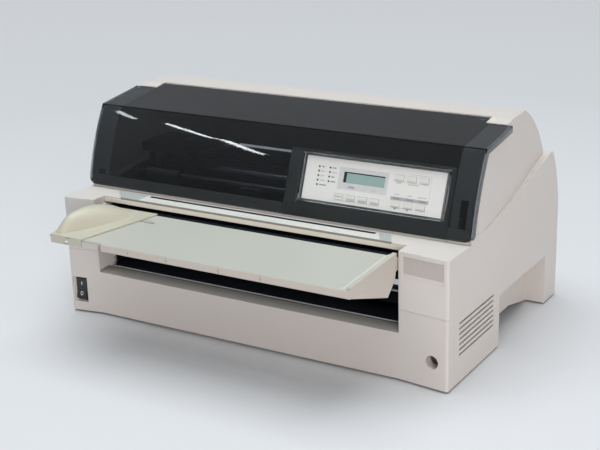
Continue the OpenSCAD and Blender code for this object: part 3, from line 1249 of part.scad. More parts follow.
lower_case();
upper_case();
front_deck();
front_panel();
base_tray();
rubber_feet();
scale_strip();
top_cover();
paper_table();
paper_guide();
switch_body();
power_rocker();
panel_housing();
panel_face();
lcd_window();
status_lamps();
panel_board();
low_key_1();
low_key_2();
low_key_3();
low_key_4();
top_key_1();
top_key_2();
top_key_3();
right_key_1();
right_key_2();
right_key_3();
left_frame();
right_frame();
platen();
paper_plates();
carriage_rails();
front_feed_roller();
rear_feed_roller();
front_pinch_rollers();
rear_pinch_rollers();
feed_idler_gear();
tractor_idler_gear();
motor_pinion();
feed_motor();
carriage();
print_head();
ribbon_cartridge();
carriage_motor();
drive_pulley();
idler_pulley();
drive_belt();
tractor_shaft();
left_tractor();
right_tractor();
left_tractor_door();
right_tractor_door();
left_sprocket();
right_sprocket();
fan_frame();
fan_rotor();
main_board();
power_supply();
ac_inlet();
interface_connector();
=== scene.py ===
import bpy
import numpy as np
from mathutils import Matrix


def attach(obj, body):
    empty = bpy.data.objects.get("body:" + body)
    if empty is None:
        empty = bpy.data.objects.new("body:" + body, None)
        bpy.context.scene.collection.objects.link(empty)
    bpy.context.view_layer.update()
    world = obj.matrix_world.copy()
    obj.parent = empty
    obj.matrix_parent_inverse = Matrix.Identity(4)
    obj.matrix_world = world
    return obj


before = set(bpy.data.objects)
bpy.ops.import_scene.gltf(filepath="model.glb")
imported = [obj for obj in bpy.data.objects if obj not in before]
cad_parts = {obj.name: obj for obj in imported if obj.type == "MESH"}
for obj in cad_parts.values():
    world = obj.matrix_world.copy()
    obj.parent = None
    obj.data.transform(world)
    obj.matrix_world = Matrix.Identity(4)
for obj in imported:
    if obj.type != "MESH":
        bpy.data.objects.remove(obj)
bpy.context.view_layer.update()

# ---- Camera and studio ----
# The printer stands on a plain pale floor, seen from its front right, a little above it. Soft light
# comes from a wide ceiling lamp, a low one before the printer, a weak one at its right, two tubes at
# the left and the pale room itself.


def turn(degrees, axis):
    """A 3 by 3 turn about axis 0, 1 or 2: cosines on the diagonal of the other two, sines across."""
    a = np.radians(degrees)
    made = np.eye(3)
    i, j = [k for k in range(3) if k != axis]
    made[i, i] = made[j, j] = np.cos(a)
    made[i, j], made[j, i] = -np.sin(a), np.sin(a)
    return made


def camera_axes(tilt, heading, roll):
    """Rows are the camera's right, down and forward in the room: heading about Z, then tilt, then roll."""
    level = np.array([[1, 0, 0], [0, 0, -1], [0, 1, 0]], float)
    return turn(roll, 2) @ turn(tilt, 0) @ level @ turn(heading, 2)


# The photograph's angle in degrees, its lens in mm, and the eye's place in metres
tilt, heading, roll = 18.4, -31.42, -1.62
lens = 75.1
eye = (0.9364, -1.5104, 0.7366)
right, down, forward = camera_axes(tilt, heading, roll)
camera = bpy.data.objects.new("camera", bpy.data.cameras.new("camera"))
bpy.context.scene.collection.objects.link(camera)
camera.data.sensor_width = 36
camera.data.lens = lens
camera.data.clip_end = 60
facing = Matrix(np.array([right, -down, -forward]).T.tolist()).to_4x4()
camera.matrix_world = Matrix.Translation(eye) @ facing
bpy.context.scene.camera = camera
bpy.context.scene.view_settings.view_transform = "Standard"


def linear(code):
    """An sRGB hex colour as linear red, green, blue and alpha 1."""
    v = np.array([int(code[i:i + 2], 16) for i in (1, 3, 5)]) / 255
    return (*np.where(v <= 0.04045, v / 12.92, ((v + 0.055) / 1.055) ** 2.4).tolist(), 1.0)


def add(tree, kind, settings=None, **sockets):
    """Adds a shader node with its settings, and gives its sockets a number, a colour or an output.

    A socket's name is written with _ for a space, and a digit after it picks one of several alike.
    """
    made = tree.nodes.new(kind)
    for name, value in (settings or {}).items():
        setattr(made, name, value)
    for name, value in sockets.items():
        plain = name.rstrip("0123456789")
        alike = [s for s in made.inputs if s.enabled and s.name.replace(" ", "_") == plain]
        socket = alike[int(name[len(plain):] or 0)]
        if isinstance(value, bpy.types.NodeSocket):
            tree.links.new(value, socket)
        else:
            socket.default_value = value
    return made


def grid_mesh(name, points, closed=False, smooth=True):
    """A grid of points (rows, columns, 3) as quads, one a cell. Closed joins the last column to the first."""
    rows, columns = points.shape[:2]
    i, j = np.meshgrid(np.arange(rows - 1), np.arange(columns if closed else columns - 1), indexing="ij")
    k = (j + 1) % columns
    corners = [i * columns + j, i * columns + k, (i + 1) * columns + k, (i + 1) * columns + j]
    mesh = bpy.data.meshes.new(name)
    mesh.from_pydata(points.reshape(-1, 3).tolist(), [], np.stack(corners, -1).reshape(-1, 4).tolist())
    mesh.polygons.foreach_set("use_smooth", np.full(len(mesh.polygons), smooth))
    made = bpy.data.objects.new(name, mesh)
    bpy.context.scene.collection.objects.link(made)
    return made


# Floor: z is 0 everywhere. It reaches this many metres each way, out of the camera's sight
floor_reach = 14
across = np.linspace(-floor_reach, floor_reach, 9)
floor = grid_mesh("floor", np.stack([*np.meshgrid(across, across), np.zeros((9, 9))], -1))
# Plain matt laminate, pale grey: an even colour that only takes the shadow
laminate = bpy.data.materials.new("pale_matt_laminate")
laminate.use_nodes = True
floor_tree = laminate.node_tree
floor_shader = floor_tree.nodes["Principled BSDF"]
floor_shader.inputs["Base Color"].default_value = linear("#d4d6d9")
floor_shader.inputs["Roughness"].default_value = 0.7
# Between these distances from the printer, in metres, the camera sees it fade into the pale room
fade_from, fade_to, full_glow = 1.6, 8.0, 0.6
spot = add(floor_tree, "ShaderNodeTexCoord").outputs["Object"]
distance = add(floor_tree, "ShaderNodeVectorMath", {"operation": "LENGTH"}, Vector=spot)
fade = add(floor_tree, "ShaderNodeMapRange", Value=distance.outputs["Value"],
           From_Min=fade_from, From_Max=fade_to, To_Max=full_glow)
floor_rays = add(floor_tree, "ShaderNodeLightPath")
glow = add(floor_tree, "ShaderNodeMath", {"operation": "MULTIPLY"},
           Value0=fade.outputs["Result"], Value1=floor_rays.outputs["Is Camera Ray"])
floor_tree.links.new(glow.outputs[0], floor_shader.inputs["Emission Strength"])
floor_shader.inputs["Emission Color"].default_value = linear("#f1f0ee")
floor.data.materials.append(laminate)

# The room: a pale light, brighter towards the ceiling, as gloss and clear plastic show it
room = bpy.data.worlds.new("pale_room")
room.use_nodes = True
bpy.context.scene.world = room
room_tree = room.node_tree
direction = add(room_tree, "ShaderNodeTexCoord").outputs["Generated"]
height = add(room_tree, "ShaderNodeSeparateXYZ", Vector=direction)
light = add(room_tree, "ShaderNodeMapRange", Value=height.outputs["Z"],
            From_Min=-0.1, From_Max=0.75, To_Min=0.15, To_Max=0.4)
room_rays = add(room_tree, "ShaderNodeLightPath")
# The camera itself sees an even backdrop of this strength
backdrop = 0.86
strength = add(room_tree, "ShaderNodeMix", Factor=room_rays.outputs["Is Camera Ray"],
               A=light.outputs["Result"], B=backdrop)
room_tree.links.new(strength.outputs["Result"], room_tree.nodes["Background"].inputs["Strength"])
room_tree.nodes["Background"].inputs["Color"].default_value = linear("#f4f8fe")


def soft_lamp(name, at, towards, size, watts, colour):
    """A rectangular lamp at a point in metres, facing another point."""
    lamp = bpy.data.lights.new(name, "AREA")
    lamp.shape = "RECTANGLE"
    lamp.size, lamp.size_y = size
    lamp.energy = watts
    lamp.color = linear(colour)[:3]
    made = bpy.data.objects.new(name, lamp)
    bpy.context.scene.collection.objects.link(made)
    back = np.array(at, float) - towards
    back /= np.linalg.norm(back)
    side = np.cross([0, 1, 0.01], back)
    side /= np.linalg.norm(side)
    axes = np.array([side, np.cross(back, side), back])
    made.matrix_world = Matrix.Translation(at) @ Matrix(axes.T.tolist()).to_4x4()
    return made


soft_lamp("ceiling_lamp", at=(-0.2, 0.0, 4.2), towards=(0, 0, 0), size=(4.4, 4.0), watts=170,
          colour="#fbffff")
low_lamp = soft_lamp("front_lamp", at=(2.6, -2.8, 0.6), towards=(0, 0, 0.1), size=(2.4, 1.0),
                     watts=92, colour="#fff5f3")
# Kept out of reflections, which would bleach the polished cover as seen from behind
low_lamp.visible_glossy = False
soft_lamp("side_lamp", at=(3.4, -0.4, 1.7), towards=(0, 0, 0.2), size=(1.8, 1.6), watts=6,
          colour="#fff8f6")
# Two fluorescent tubes at the left, weak as light, that the polished cover shows as a bright streak
soft_lamp("tube_near", at=(-2.62, -3.1, 2.4), towards=(-0.1, -0.05, 0.28), size=(0.035, 0.82),
          watts=1.5, colour="#f4fbff")
soft_lamp("tube_far", at=(-2.78, -2.44, 2.4), towards=(-0.28, -0.04, 0.29), size=(0.035, 0.15),
          watts=0.16, colour="#f4fbff")

# ---- Case shells ----
# Four mouldings of warm grey ABS: lower case, upper case, front panel and the deck over it, screwed
# to each other from inside. Fine spark-eroded grain all over, faintly yellowed by years of light.


def moulded(name, colour, grain=1.6, rough=0.5, depth=0.05, aged="#c9bfa2", ageing=0.1,
            gloss=0.5, edge=0.0):
    """Moulded plastic. Grain cells of `grain` mm are `depth` mm deep, and edges are rounded by `edge` mm.

    Over slow patches of 120 mm it turns up to `ageing` towards the aged colour and its roughness drifts.
    """
    made = bpy.data.materials.new(name)
    made.use_nodes = True
    tree = made.node_tree
    shader = tree.nodes["Principled BSDF"]
    place = add(tree, "ShaderNodeTexCoord").outputs["Object"]
    patches = add(tree, "ShaderNodeTexNoise", Vector=place, Scale=1000 / 120, Detail=3.0)
    share = add(tree, "ShaderNodeMapRange", Value=patches.outputs["Fac"],
                From_Min=0.35, From_Max=0.75, To_Max=ageing)
    tone = add(tree, "ShaderNodeMix", {"data_type": "RGBA"}, Factor=share.outputs["Result"],
               A=linear(colour), B=linear(aged))
    cells = add(tree, "ShaderNodeTexNoise", Vector=place, Scale=1000 / grain, Detail=2.0)
    relief = add(tree, "ShaderNodeBump", Strength=0.35, Distance=depth / 1000,
                 Height=cells.outputs["Fac"])
    worn = add(tree, "ShaderNodeMapRange", Value=patches.outputs["Fac"],
               To_Min=rough - 0.06, To_Max=rough + 0.08)
    if edge:
        rounded = add(tree, "ShaderNodeBevel", {"samples": 6}, Radius=edge / 1000)
        tree.links.new(rounded.outputs["Normal"], relief.inputs["Normal"])
    tree.links.new(tone.outputs["Result"], shader.inputs["Base Color"])
    tree.links.new(worn.outputs["Result"], shader.inputs["Roughness"])
    tree.links.new(relief.outputs["Normal"], shader.inputs["Normal"])
    shader.inputs["IOR"].default_value = 1.53
    shader.inputs["Specular IOR Level"].default_value = gloss
    return made


def dress(nodes, material, bend=25):
    """Gives solids their material and smooths them across bends under `bend` degrees."""
    for name in nodes:
        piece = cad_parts[name]
        piece.data.materials.clear()
        piece.data.materials.append(material)
        piece.data.polygons.foreach_set("use_smooth", np.ones(len(piece.data.polygons), bool))
        piece.modifiers.new("joined", "WELD").merge_threshold = 1e-5
        piece.modifiers.new("bends", "EDGE_SPLIT").split_angle = np.radians(bend)


# ABS with a spark-eroded grain: satin, no clear reflections. The real grain of 0.2 mm is drawn at
# 1.6 mm to show
yellowed_abs = "#c9c0ab"
case_abs = moulded("abs_spark_grain_warm_grey", "#cdc8c3", aged=yellowed_abs, edge=0.8)
deck_abs = moulded("abs_spark_grain_warm_grey_2", "#d0ccc7", aged=yellowed_abs, ageing=0.08, edge=0.8)
dress(["lower_case", "upper_case", "front_panel"], case_abs)
dress(["front_deck"], deck_abs)

# The model's origin lies this many mm behind the tower fronts
middle_y = 142.0


def fit(x, y, z):
    """Model metres from millimetres measured from the tower fronts, at the middle, on the floor."""
    return np.stack(np.broadcast_arrays(x, np.asarray(y) - middle_y, z), -1) / 1000


def screw_head(name, at, radius, out, body, arm=0.13, reach=0.62):
    """A domed head: its height is an ellipse's arc over the radius, and drops inside a cross.

    The cross is where |u| or |v| is under `arm` and the distance under `reach`, as shares of the radius.
    """
    r, a = np.meshgrid(np.linspace(0, 1, 15), np.linspace(0, 2 * np.pi, 48, endpoint=False), indexing="ij")
    u, v = r * np.cos(a), r * np.sin(a)
    recess = (np.minimum(abs(u), abs(v)) < arm) & (r < reach)
    h = radius * (0.62 * (1 - r ** 2) ** 0.5 + 0.08) - np.where(recess, radius * 0.4, 0)
    h[-1] = 0
    out = np.array(out, float)
    side = np.cross(out, [0.0, 0.6, 0.8])
    side /= np.linalg.norm(side)
    up = np.cross(out, side)
    points = fit(*at) + (radius * (u[..., None] * side + v[..., None] * up) + h[..., None] * out) / 1000
    made = grid_mesh(name, points, closed=True)
    made.data.materials.append(black_oxide)
    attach(made, body)
    return made


def metal(name, colour, low, high, grain=8.0, relief=0.0):
    """Bare or plated metal: roughness drifts from low to high over clouds of `grain` mm.

    The clouds stand `relief` mm proud where that is given.
    """
    made = bpy.data.materials.new(name)
    made.use_nodes = True
    tree = made.node_tree
    shader = tree.nodes["Principled BSDF"]
    place = add(tree, "ShaderNodeTexCoord").outputs["Object"]
    cloud = add(tree, "ShaderNodeTexNoise", Vector=place, Scale=1000 / grain, Detail=4.0)
    matt = add(tree, "ShaderNodeMapRange", Value=cloud.outputs["Fac"], To_Min=low, To_Max=high)
    tree.links.new(matt.outputs["Result"], shader.inputs["Roughness"])
    if relief:
        bump = add(tree, "ShaderNodeBump", Strength=0.6, Distance=relief / 1000, Height=cloud.outputs["Fac"])
        tree.links.new(bump.outputs["Normal"], shader.inputs["Normal"])
    shader.inputs["Base Color"].default_value = linear(colour)
    shader.inputs["Metallic"].default_value = 1.0
    return made


# Zinc-plated steel, rolled and stamped: bright, a little cloudy
zinc_steel = metal("zinc_plated_steel", "#b9bcc0", low=0.24, high=0.42)
# Black oxide on hardened steel, oiled
black_oxide = metal("black_oxide_steel", "#3b3a36", low=0.35, high=0.5)
screw_head("well_screw", at=(295.7, 23.9, 40.3), radius=4.2, out=(0, -1, 0), body="case")


def within(tree, low, high):
    """1 inside a box given by two corners in mm, else 0: all three of |place - middle| - half are below 0."""
    low, high = fit(*low), fit(*high)
    place = add(tree, "ShaderNodeTexCoord").outputs["Object"]
    off = add(tree, "ShaderNodeVectorMath", {"operation": "SUBTRACT"},
              Vector0=place, Vector1=((low + high) / 2).tolist())
    away = add(tree, "ShaderNodeVectorMath", {"operation": "ABSOLUTE"}, Vector=off.outputs["Vector"])
    past = add(tree, "ShaderNodeVectorMath", {"operation": "SUBTRACT"},
               Vector0=away.outputs["Vector"], Vector1=((high - low) / 2).tolist())
    parts = add(tree, "ShaderNodeSeparateXYZ", Vector=past.outputs["Vector"])
    most = parts.outputs["X"]
    for axis in ("Y", "Z"):
        most = add(tree, "ShaderNodeMath", {"operation": "MAXIMUM"},
                   Value0=most, Value1=parts.outputs[axis]).outputs[0]
    return add(tree, "ShaderNodeMath", {"operation": "LESS_THAN"}, Value0=most, Value1=0.0).outputs[0]


def covered(material, mask, colour, rough, metallic=0.0):
    """Where the mask is 1 the material's colour, roughness and metallic give way to these."""
    tree = material.node_tree
    shader = tree.nodes["Principled BSDF"]
    for name, value in (("Base Color", linear(colour)), ("Roughness", rough), ("Metallic", metallic)):
        into = shader.inputs[name]
        before = into.links[0].from_socket if into.is_linked else into.default_value
        kind = "RGBA" if name == "Base Color" else "FLOAT"
        mixed = add(tree, "ShaderNodeMix", {"data_type": kind}, Factor=mask, A=before, B=value)
        tree.links.new(mixed.outputs["Result"], into)


def patch(material, box, colour, rough, metallic=0.0):
    """Covers the material inside a box, a pair of corners in mm."""
    covered(material, within(material.node_tree, *box), colour, rough, metallic)


# The screw's well is painted darker at its floor: painted shade in the recess
well_painted_shade = (285, 19, 29), (306, 25.5, 52)
patch(case_abs, well_painted_shade, "#7d7970", rough=0.7)
# The bar's front edge, above the paper, is painted lighter and creamier: painted light on that face
bar_face_painted_light = (-266, 32, 175), (243, 33.6, 185.6)
patch(deck_abs, bar_face_painted_light, "#e6dfcf", rough=0.45)
# Painted shade on the sill under the opening, below the table. It deepens inwards over 18 mm, between
# these depths in model metres
sill_shade_front, sill_shade_back = -0.132, -0.114
sill = (-267.5, 9.2, 68.9), (244.5, 33.5, 74)
case_tree = case_abs.node_tree
case_place = add(case_tree, "ShaderNodeTexCoord").outputs["Object"]
case_parts = add(case_tree, "ShaderNodeSeparateXYZ", Vector=case_place)
inwards = add(case_tree, "ShaderNodeMapRange", Value=case_parts.outputs["Y"],
              From_Min=sill_shade_front, From_Max=sill_shade_back, To_Min=0.35, To_Max=0.8)
sill_painted_shade = add(case_tree, "ShaderNodeMath", {"operation": "MULTIPLY"},
            Value0=within(case_tree, *sill), Value1=inwards.outputs["Result"])
covered(case_abs, sill_painted_shade.outputs[0], "#5c5854", rough=0.75)


def print_and_painted_light(name, patches, body, colour, rough=0.5):
    """Ink, film, painted shade and painted reflection on a surface: each patch is a ring of corner points,
    anticlockwise as seen from outside.
    """
    starts = np.cumsum([0] + [len(p) for p in patches])
    rings = [list(range(a, b)) for a, b in zip(starts[:-1], starts[1:])]
    mesh = bpy.data.meshes.new(name)
    mesh.from_pydata(np.concatenate(patches).tolist(), [], rings)
    made = bpy.data.objects.new(name, mesh)
    bpy.context.scene.collection.objects.link(made)
    mark_paint = bpy.data.materials.new("screen_ink_" + name)
    mark_paint.use_nodes = True
    tree = mark_paint.node_tree
    shader = tree.nodes["Principled BSDF"]
    # Screen-printed ink, and painted shade and reflection drawn the same way: even, slightly mottled where it
    # lies thin
    place = add(tree, "ShaderNodeTexCoord").outputs["Object"]
    film = add(tree, "ShaderNodeTexNoise", Vector=place, Scale=1000 / 3, Detail=2.0)
    thin = add(tree, "ShaderNodeMapRange", Value=film.outputs["Fac"], To_Min=0.9, To_Max=1.08)
    tone = add(tree, "ShaderNodeVectorMath", {"operation": "SCALE"},
               Vector=linear(colour)[:3], Scale=thin.outputs["Result"])
    tree.links.new(tone.outputs["Vector"], shader.inputs["Base Color"])
    shader.inputs["Roughness"].default_value = rough
    made.data.materials.append(mark_paint)
    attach(made, body)
    return made


# Blank film in the shallow recess of the right tower. The tower's face lies 9 mm back at its left end
# and comes forward over 76 mm, which is 6.8 degrees; the film lies 0.74 mm behind that face
face_left, face_back, face_run, film_depth = 244, 9, 76, 0.74
lean = np.arctan2(face_back, face_run)
film_along = np.array([7.5, 68.5, 68.5, 7.5])
film_z = np.array([156.0, 156.0, 183.5, 183.5])
film_x = face_left + film_along * np.cos(lean) + film_depth * np.sin(lean)
film_y = face_back + film_depth * np.cos(lean) - film_along * np.sin(lean)
print_and_painted_light("blank_name_film", [fit(film_x, film_y, film_z)], "case", "#b9b3ae", rough=0.32)

# ---- Base tray and feet ----
# A dark steel tray closes the case from below and carries the boards on posts. Four rubber
# feet are pressed into it.

# Powder-coated sheet steel: dark grey, fine orange peel of 2 mm
tray_coat = moulded("powder_coat_dark_grey", "#55534f", grain=2.0, rough=0.55, ageing=0.0)
dress(["base_tray"], tray_coat)
# Black nitrile rubber, moulded: matt and dusty
foot_rubber = moulded("nitrile_rubber_black", "#2b2b2c", grain=1.2, rough=0.85, aged="#56544f",
                      ageing=0.25, gloss=0.3)
dress(["rubber_feet"], foot_rubber)

# ---- Scale strip ----
# A white styrene strip clipped into the deck under the cover. It has a black groove and fine printed
# column marks; two grey patches at its ends are painted reflection.

# Gloss white styrene, moulded: clean, with a soft shine
styrene = moulded("styrene_gloss_white", "#dddeda", rough=0.28, depth=0.01, ageing=0.03)
# It is a darker grey along its front edge
strip_edge = (-240, 33.8, 184), (224, 34.9, 187.1)
patch(styrene, strip_edge, "#8f8e86", rough=0.6)
dress(["scale_strip"], styrene)
# Heights of the ink on the strip and in its groove, in mm, and the ends and sides of the groove with
# the black lines before and behind it
strip_ink, groove_ink = 187.04, 186.23
groove_left, groove_right = -196.9, 185.9
line_before, groove_floor, line_behind = (53.3, 54), (54.1, 57.9), (58, 59.8)


def on_strip(x0, x1, y0, y1, height=strip_ink):
    """The corners of a level rectangle in mm."""
    return fit([x0, x1, x1, x0], [y0, y0, y1, y1], height)


# The groove's floor and rear wall, and the lines along it
groove_wall = fit([groove_left, groove_right, groove_right, groove_left], 57.96, [186.2, 186.2, 187, 187])
black = [on_strip(groove_left, groove_right, *groove_floor, groove_ink), groove_wall]
black += [on_strip(groove_left, groove_right, *painted_shade) for painted_shade in (line_behind, line_before)]
print_and_painted_light("strip_groove_line", black, "case", "#16171a", rough=0.35)
# Painted reflection: a grey patch at each end of the glossy strip
left_end_reflection = fit([-235.6, -203, -203, -261], [34.6, 34.6, 61.4, 61.4], strip_ink)
right_end_reflection = fit([203, 219.6, 206.6, 187.5], [35, 35, 61.4, 61.4], strip_ink)
print_and_painted_light("strip_end_pads", [left_end_reflection, right_end_reflection], "case", "#b3b8b7", rough=0.35)
# A mark every tenth of an inch over two stretches, and every fifth is longer
column = 2.54
ticks = np.concatenate([np.arange(-192, -128, column), np.arange(-30, 46, column)])
marks = [on_strip(x, x + 0.7, 40, 41.4 if i % 5 else 43) for i, x in enumerate(ticks)]
print_and_painted_light("strip_column_marks", marks, "case", "#85888a")

# ---- Cover ----
# A hinged cover of smoked polycarbonate, injection moulded and polished, so it is clear but
# very dark. It has a bevelled opening for the operator panel and two stub pins at the rear.

# Smoked polycarbonate: polished and clear. Each surface lets through under a third of the light
smoked = bpy.data.materials.new("polycarbonate_smoked")
smoked.use_nodes = True
cover_tree = smoked.node_tree
cover_shader = cover_tree.nodes["Principled BSDF"]
cover_place = add(cover_tree, "ShaderNodeTexCoord").outputs["Object"]
# Handling has left it a shade duller in clouds of 60 mm
haze = add(cover_tree, "ShaderNodeTexNoise", Vector=cover_place, Scale=1000 / 60, Detail=4.0)
polish = add(cover_tree, "ShaderNodeMapRange", Value=haze.outputs["Fac"], To_Min=0.014, To_Max=0.03)
cover_tree.links.new(polish.outputs["Result"], cover_shader.inputs["Roughness"])
cover_shader.inputs["Base Color"].default_value = linear("#8d9397")
cover_shader.inputs["IOR"].default_value = 1.5
cover_shader.inputs["Transmission Weight"].default_value = 1.0
dress(["top_cover"], smoked)

# ---- Paper table and guide ----
# The table is an ABS plate that folds up on two pins. Its left part carries a sliding paper
# guide with a hollow fin, moulded in an older, yellower ABS.
table_abs = moulded("abs_satin_pale_green", "#b5b8b0", rough=0.42, ageing=0.08, edge=0.6)
# Its front lip and the right rim's outer face are painted warmer and lighter: painted light, the
# tone that faces turned to the front and the side take from the lamps
lip_painted_light = (-152, -121, 158), (244.5, -119.1, 175.6)
rim_side_painted_light = (241.2, -121, 130), (243, 12, 187)
for box in (lip_painted_light, rim_side_painted_light):
    patch(table_abs, box, "#c0b9af", rough=0.45)
dress(["paper_table"], table_abs)
guide_abs = moulded("abs_satin_cream", "#bab8a9", rough=0.4, ageing=0.12, edge=0.5)
dress(["paper_guide"], guide_abs)

# Slanted inner face of the table's right rim. It rises from the plate to the rim's top over a width
# that grows from 9.5 mm at the front to 13 mm at the rear; both ends are drawn to a point.
rim_x, rim_front, rim_length = 237.0, -117.2, 124.5
front_width, more_width = 9.5, 3.5
# The plate's height at the tower fronts and its rise per mm; the rim's front height and its whole rise
plate_height, plate_slope = 176.25, 0.0247
rim_height, rim_rise = 176.0, 6.5
t = np.linspace(0, 1, 24)[:, None]
along = rim_front + t * rim_length
plate_z = plate_height + along * plate_slope
rim_z = rim_height + t * rim_rise
wide = front_width + more_width * t
section_x = np.concatenate([rim_x - wide, rim_x + 0 * t, rim_x + 0 * t], 1)
section_z = np.concatenate([plate_z + 0.02, rim_z, plate_z - 0.5], 1)
sections = np.stack([section_x, np.repeat(along, 3, 1), section_z], -1)
ends = [sections[i].mean(0, keepdims=True).repeat(3, 0)[None] for i in (0, -1)]
sections = np.concatenate([ends[0], sections, ends[1]])
rim_points = fit(sections[..., 0], sections[..., 1], sections[..., 2])
rim_face = grid_mesh("table_rim_face", rim_points, closed=True, smooth=False)
# Painted light: the slanted face gets a lighter copy of the table's ABS, as it catches the lamps
rim_lit_abs = moulded("abs_satin_pale_green_rim", "#d3d5cc", rough=0.4, ageing=0.08)
rim_face.data.materials.append(rim_lit_abs)
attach(rim_face, "table")

# Painted shade in the four grooves down the lip, a printed edge mark for the paper beside the guide, and
# a mark on the guide's front
lip_y, lean_out, seam_low, seam_top, seam_width = -119.86, 0.12, 166.2, 174, 0.9
seam_y = [lip_y, lip_y, lip_y - lean_out, lip_y - lean_out]
seam_z = [seam_low, seam_low, seam_top, seam_top]
groove_shades = [fit([x, x + seam_width, x + seam_width, x], seam_y, seam_z) for x in (-103.4, -39.4, 45.6, 110.6)]
print_and_painted_light("table_lip_seams", groove_shades, "table", "#8d887f")
edge_mark = fit([-157, -136, -136, -157], [-11.2, -15.6, -14.7, -10.3], [176.05, 175.95, 175.97, 176.07])
print_and_painted_light("table_edge_mark", [edge_mark], "table", "#8b8d87")
guide_mark = fit([-213, -204, -204, -213], -119.94, [173.6, 173.6, 174.6, 174.6])
print_and_painted_light("guide_mark", [guide_mark], "guide", "#6b6d68")

# ---- Power switch ----
# A rocker switch snapped into the recess of the left tower: black nylon with printed marks for
# on and off.
black_nylon = moulded("nylon_black_moulded", "#1d1e20", grain=1.2, rough=0.38, aged="#3a3a3a")
dress(["switch_body", "power_rocker"], black_nylon)
# The rocker's axle, half its height, how far its ends come forward, and its lean at rest in degrees
axle_x, axle_y, axle_z = -302, 8, 38.5
half_height, end_rise, rocker_lean = 15.8, 2, -6


def on_rocker(u, z):
    """A point 0.05 mm before the rocker's front, which comes forward from its middle to both ends."""
    y = -3.05 - np.abs(z) * end_rise / half_height
    a = np.radians(rocker_lean)
    return fit(axle_x + u, axle_y + y * np.cos(a) - z * np.sin(a), axle_z + y * np.sin(a) + z * np.cos(a))


# A stroke for on above, and an oval ring of 32 pieces for off below
angle = np.linspace(0, 2 * np.pi, 33)
ring = []
for p, q in zip(angle[:-1], angle[1:]):
    ring_u = np.array([2.6 * np.cos(p), 2.6 * np.cos(q), 1.8 * np.cos(q), 1.8 * np.cos(p)])
    ring_z = np.array([3.2 * np.sin(p), 3.2 * np.sin(q), 2.3 * np.sin(q), 2.3 * np.sin(p)])
    ring.append(on_rocker(ring_u, ring_z - 8)[::-1])
stroke = on_rocker(np.array([-0.6, 0.6, 0.6, -0.6]), np.array([5.5, 5.5, 10.5, 10.5]))
print_and_painted_light("switch_marks", [stroke] + ring, "rocker", "#e8e8e6")

# ---- Operator panel ----
# A pale grey ABS housing behind the cover's opening holds a white face, a liquid crystal display,
# nine lamps and ten keys over a circuit board.
housing_abs = moulded("abs_pale_grey", "#bdbab4", rough=0.5, ageing=0.02)
dress(["panel_housing"], housing_abs)
face_film = moulded("polyester_film_white", "#d8dad8", grain=1.0, rough=0.4, depth=0.01, ageing=0.04)
dress(["panel_face"], face_film)
key_abs = moulded("abs_keycap_grey", "#d2d4cf", grain=1.0, rough=0.42, depth=0.02, ageing=0.05)
keys = [f"low_key_{i}" for i in (1, 2, 3, 4)] + [f"{r}_key_{i}" for r in ("top", "right") for i in (1, 2, 3)]
dress(keys, key_abs)
# The panel lies along the cover's chord, which starts at this depth and height and has this slope.
# Ink and painted shade lie these distances behind the chord: on the face, on other ink, on a key, on the
# display
chord_y, chord_z = 66, 190
slope_y, slope_z = 0.3645, 0.9312
face_ink, upper_ink, key_ink_and_shade, display_shade_depth = -2.45, -2.42, -1.25, -2.66
# The middle of each row's first key, the keys' step in all three rows, and the rows of lamps
low_row_x, other_rows_x, key_step = 115, 203, 18.7
rows = 74.6 - 6.4 * np.arange(5)


def on_panel(x0, x1, low, high, out=face_ink):
    """The corners of a rectangle on the sloping panel, in mm across, up the slope and out from the chord."""
    s = np.array([low, low, high, high])
    y = chord_y + slope_y * s - slope_z * out
    z = chord_z + slope_z * s + slope_y * out
    return fit([x0, x1, x1, x0], y, z)


# Printing: a tinted field round the display, dashes where the words were, a bar over the right keys
field = [(110, 117.7, 47, 78), (182.3, 187, 47, 78), (117.7, 182.3, 47, 56.5), (117.7, 182.3, 72.1, 78)]
print_and_painted_light("panel_field", [on_panel(*f) for f in field], "case", "#c6c7c8")
dark = [(81, 86, rows[0]), (98.5, 104.5, rows[0]), (98.5, 103.5, rows[2]), (98.5, 106, rows[3]),
        (81, 92, rows[4])]
pale = [(81, 87.5, rows[1]), (98.5, 106.5, rows[1]), (81, 87, rows[2]), (81, 89.5, rows[3])]
dark_words = [on_panel(a, b, s - 0.95, s + 0.95) for a, b, s in dark]
dark_words += [on_panel(127, 137, 50, 52.2), on_panel(164, 170, 49.6, 51.4)]
print_and_painted_light("panel_words_dark", dark_words, "case", "#96999b")
pale_words = [on_panel(a, b, s - 0.8, s + 0.8) for a, b, s in pale]
pale_words += [on_panel(a, b, 49.6, 51.2) for a, b in ((199, 207), (219, 226), (234, 247))]
pale_words += [on_panel(199, 206.5, 65.4, 67.2), on_panel(217, 233, 65.0, 66.6)]
# A thin frame line over the right keys and down their right side
pale_words += [on_panel(218, 251, 79.3, 79.9), on_panel(250.4, 251, 48, 79.3)]
print_and_painted_light("panel_words_pale", pale_words, "case", "#b9bbbd")
print_and_painted_light("panel_bar", [on_panel(194.2, 250.8, 42.4, 47.2)], "case", "#a6a6aa")
bar_words = [on_panel(a, b, 43.8, 45.8, upper_ink) for a, b in ((198, 208), (217, 228), (236, 247))]
# An arrow head under two of the keys, its point down the slope
for x in (other_rows_x, other_rows_x + key_step):
    point, tail = on_panel(x, x, 29.2, 32, upper_ink)[0], on_panel(x - 2.2, x + 2.2, 29.2, 32, upper_ink)
    bar_words.append(np.array([point, tail[2], tail[3]]))
print_and_painted_light("panel_bar_words", bar_words, "case", "#8b8b90")
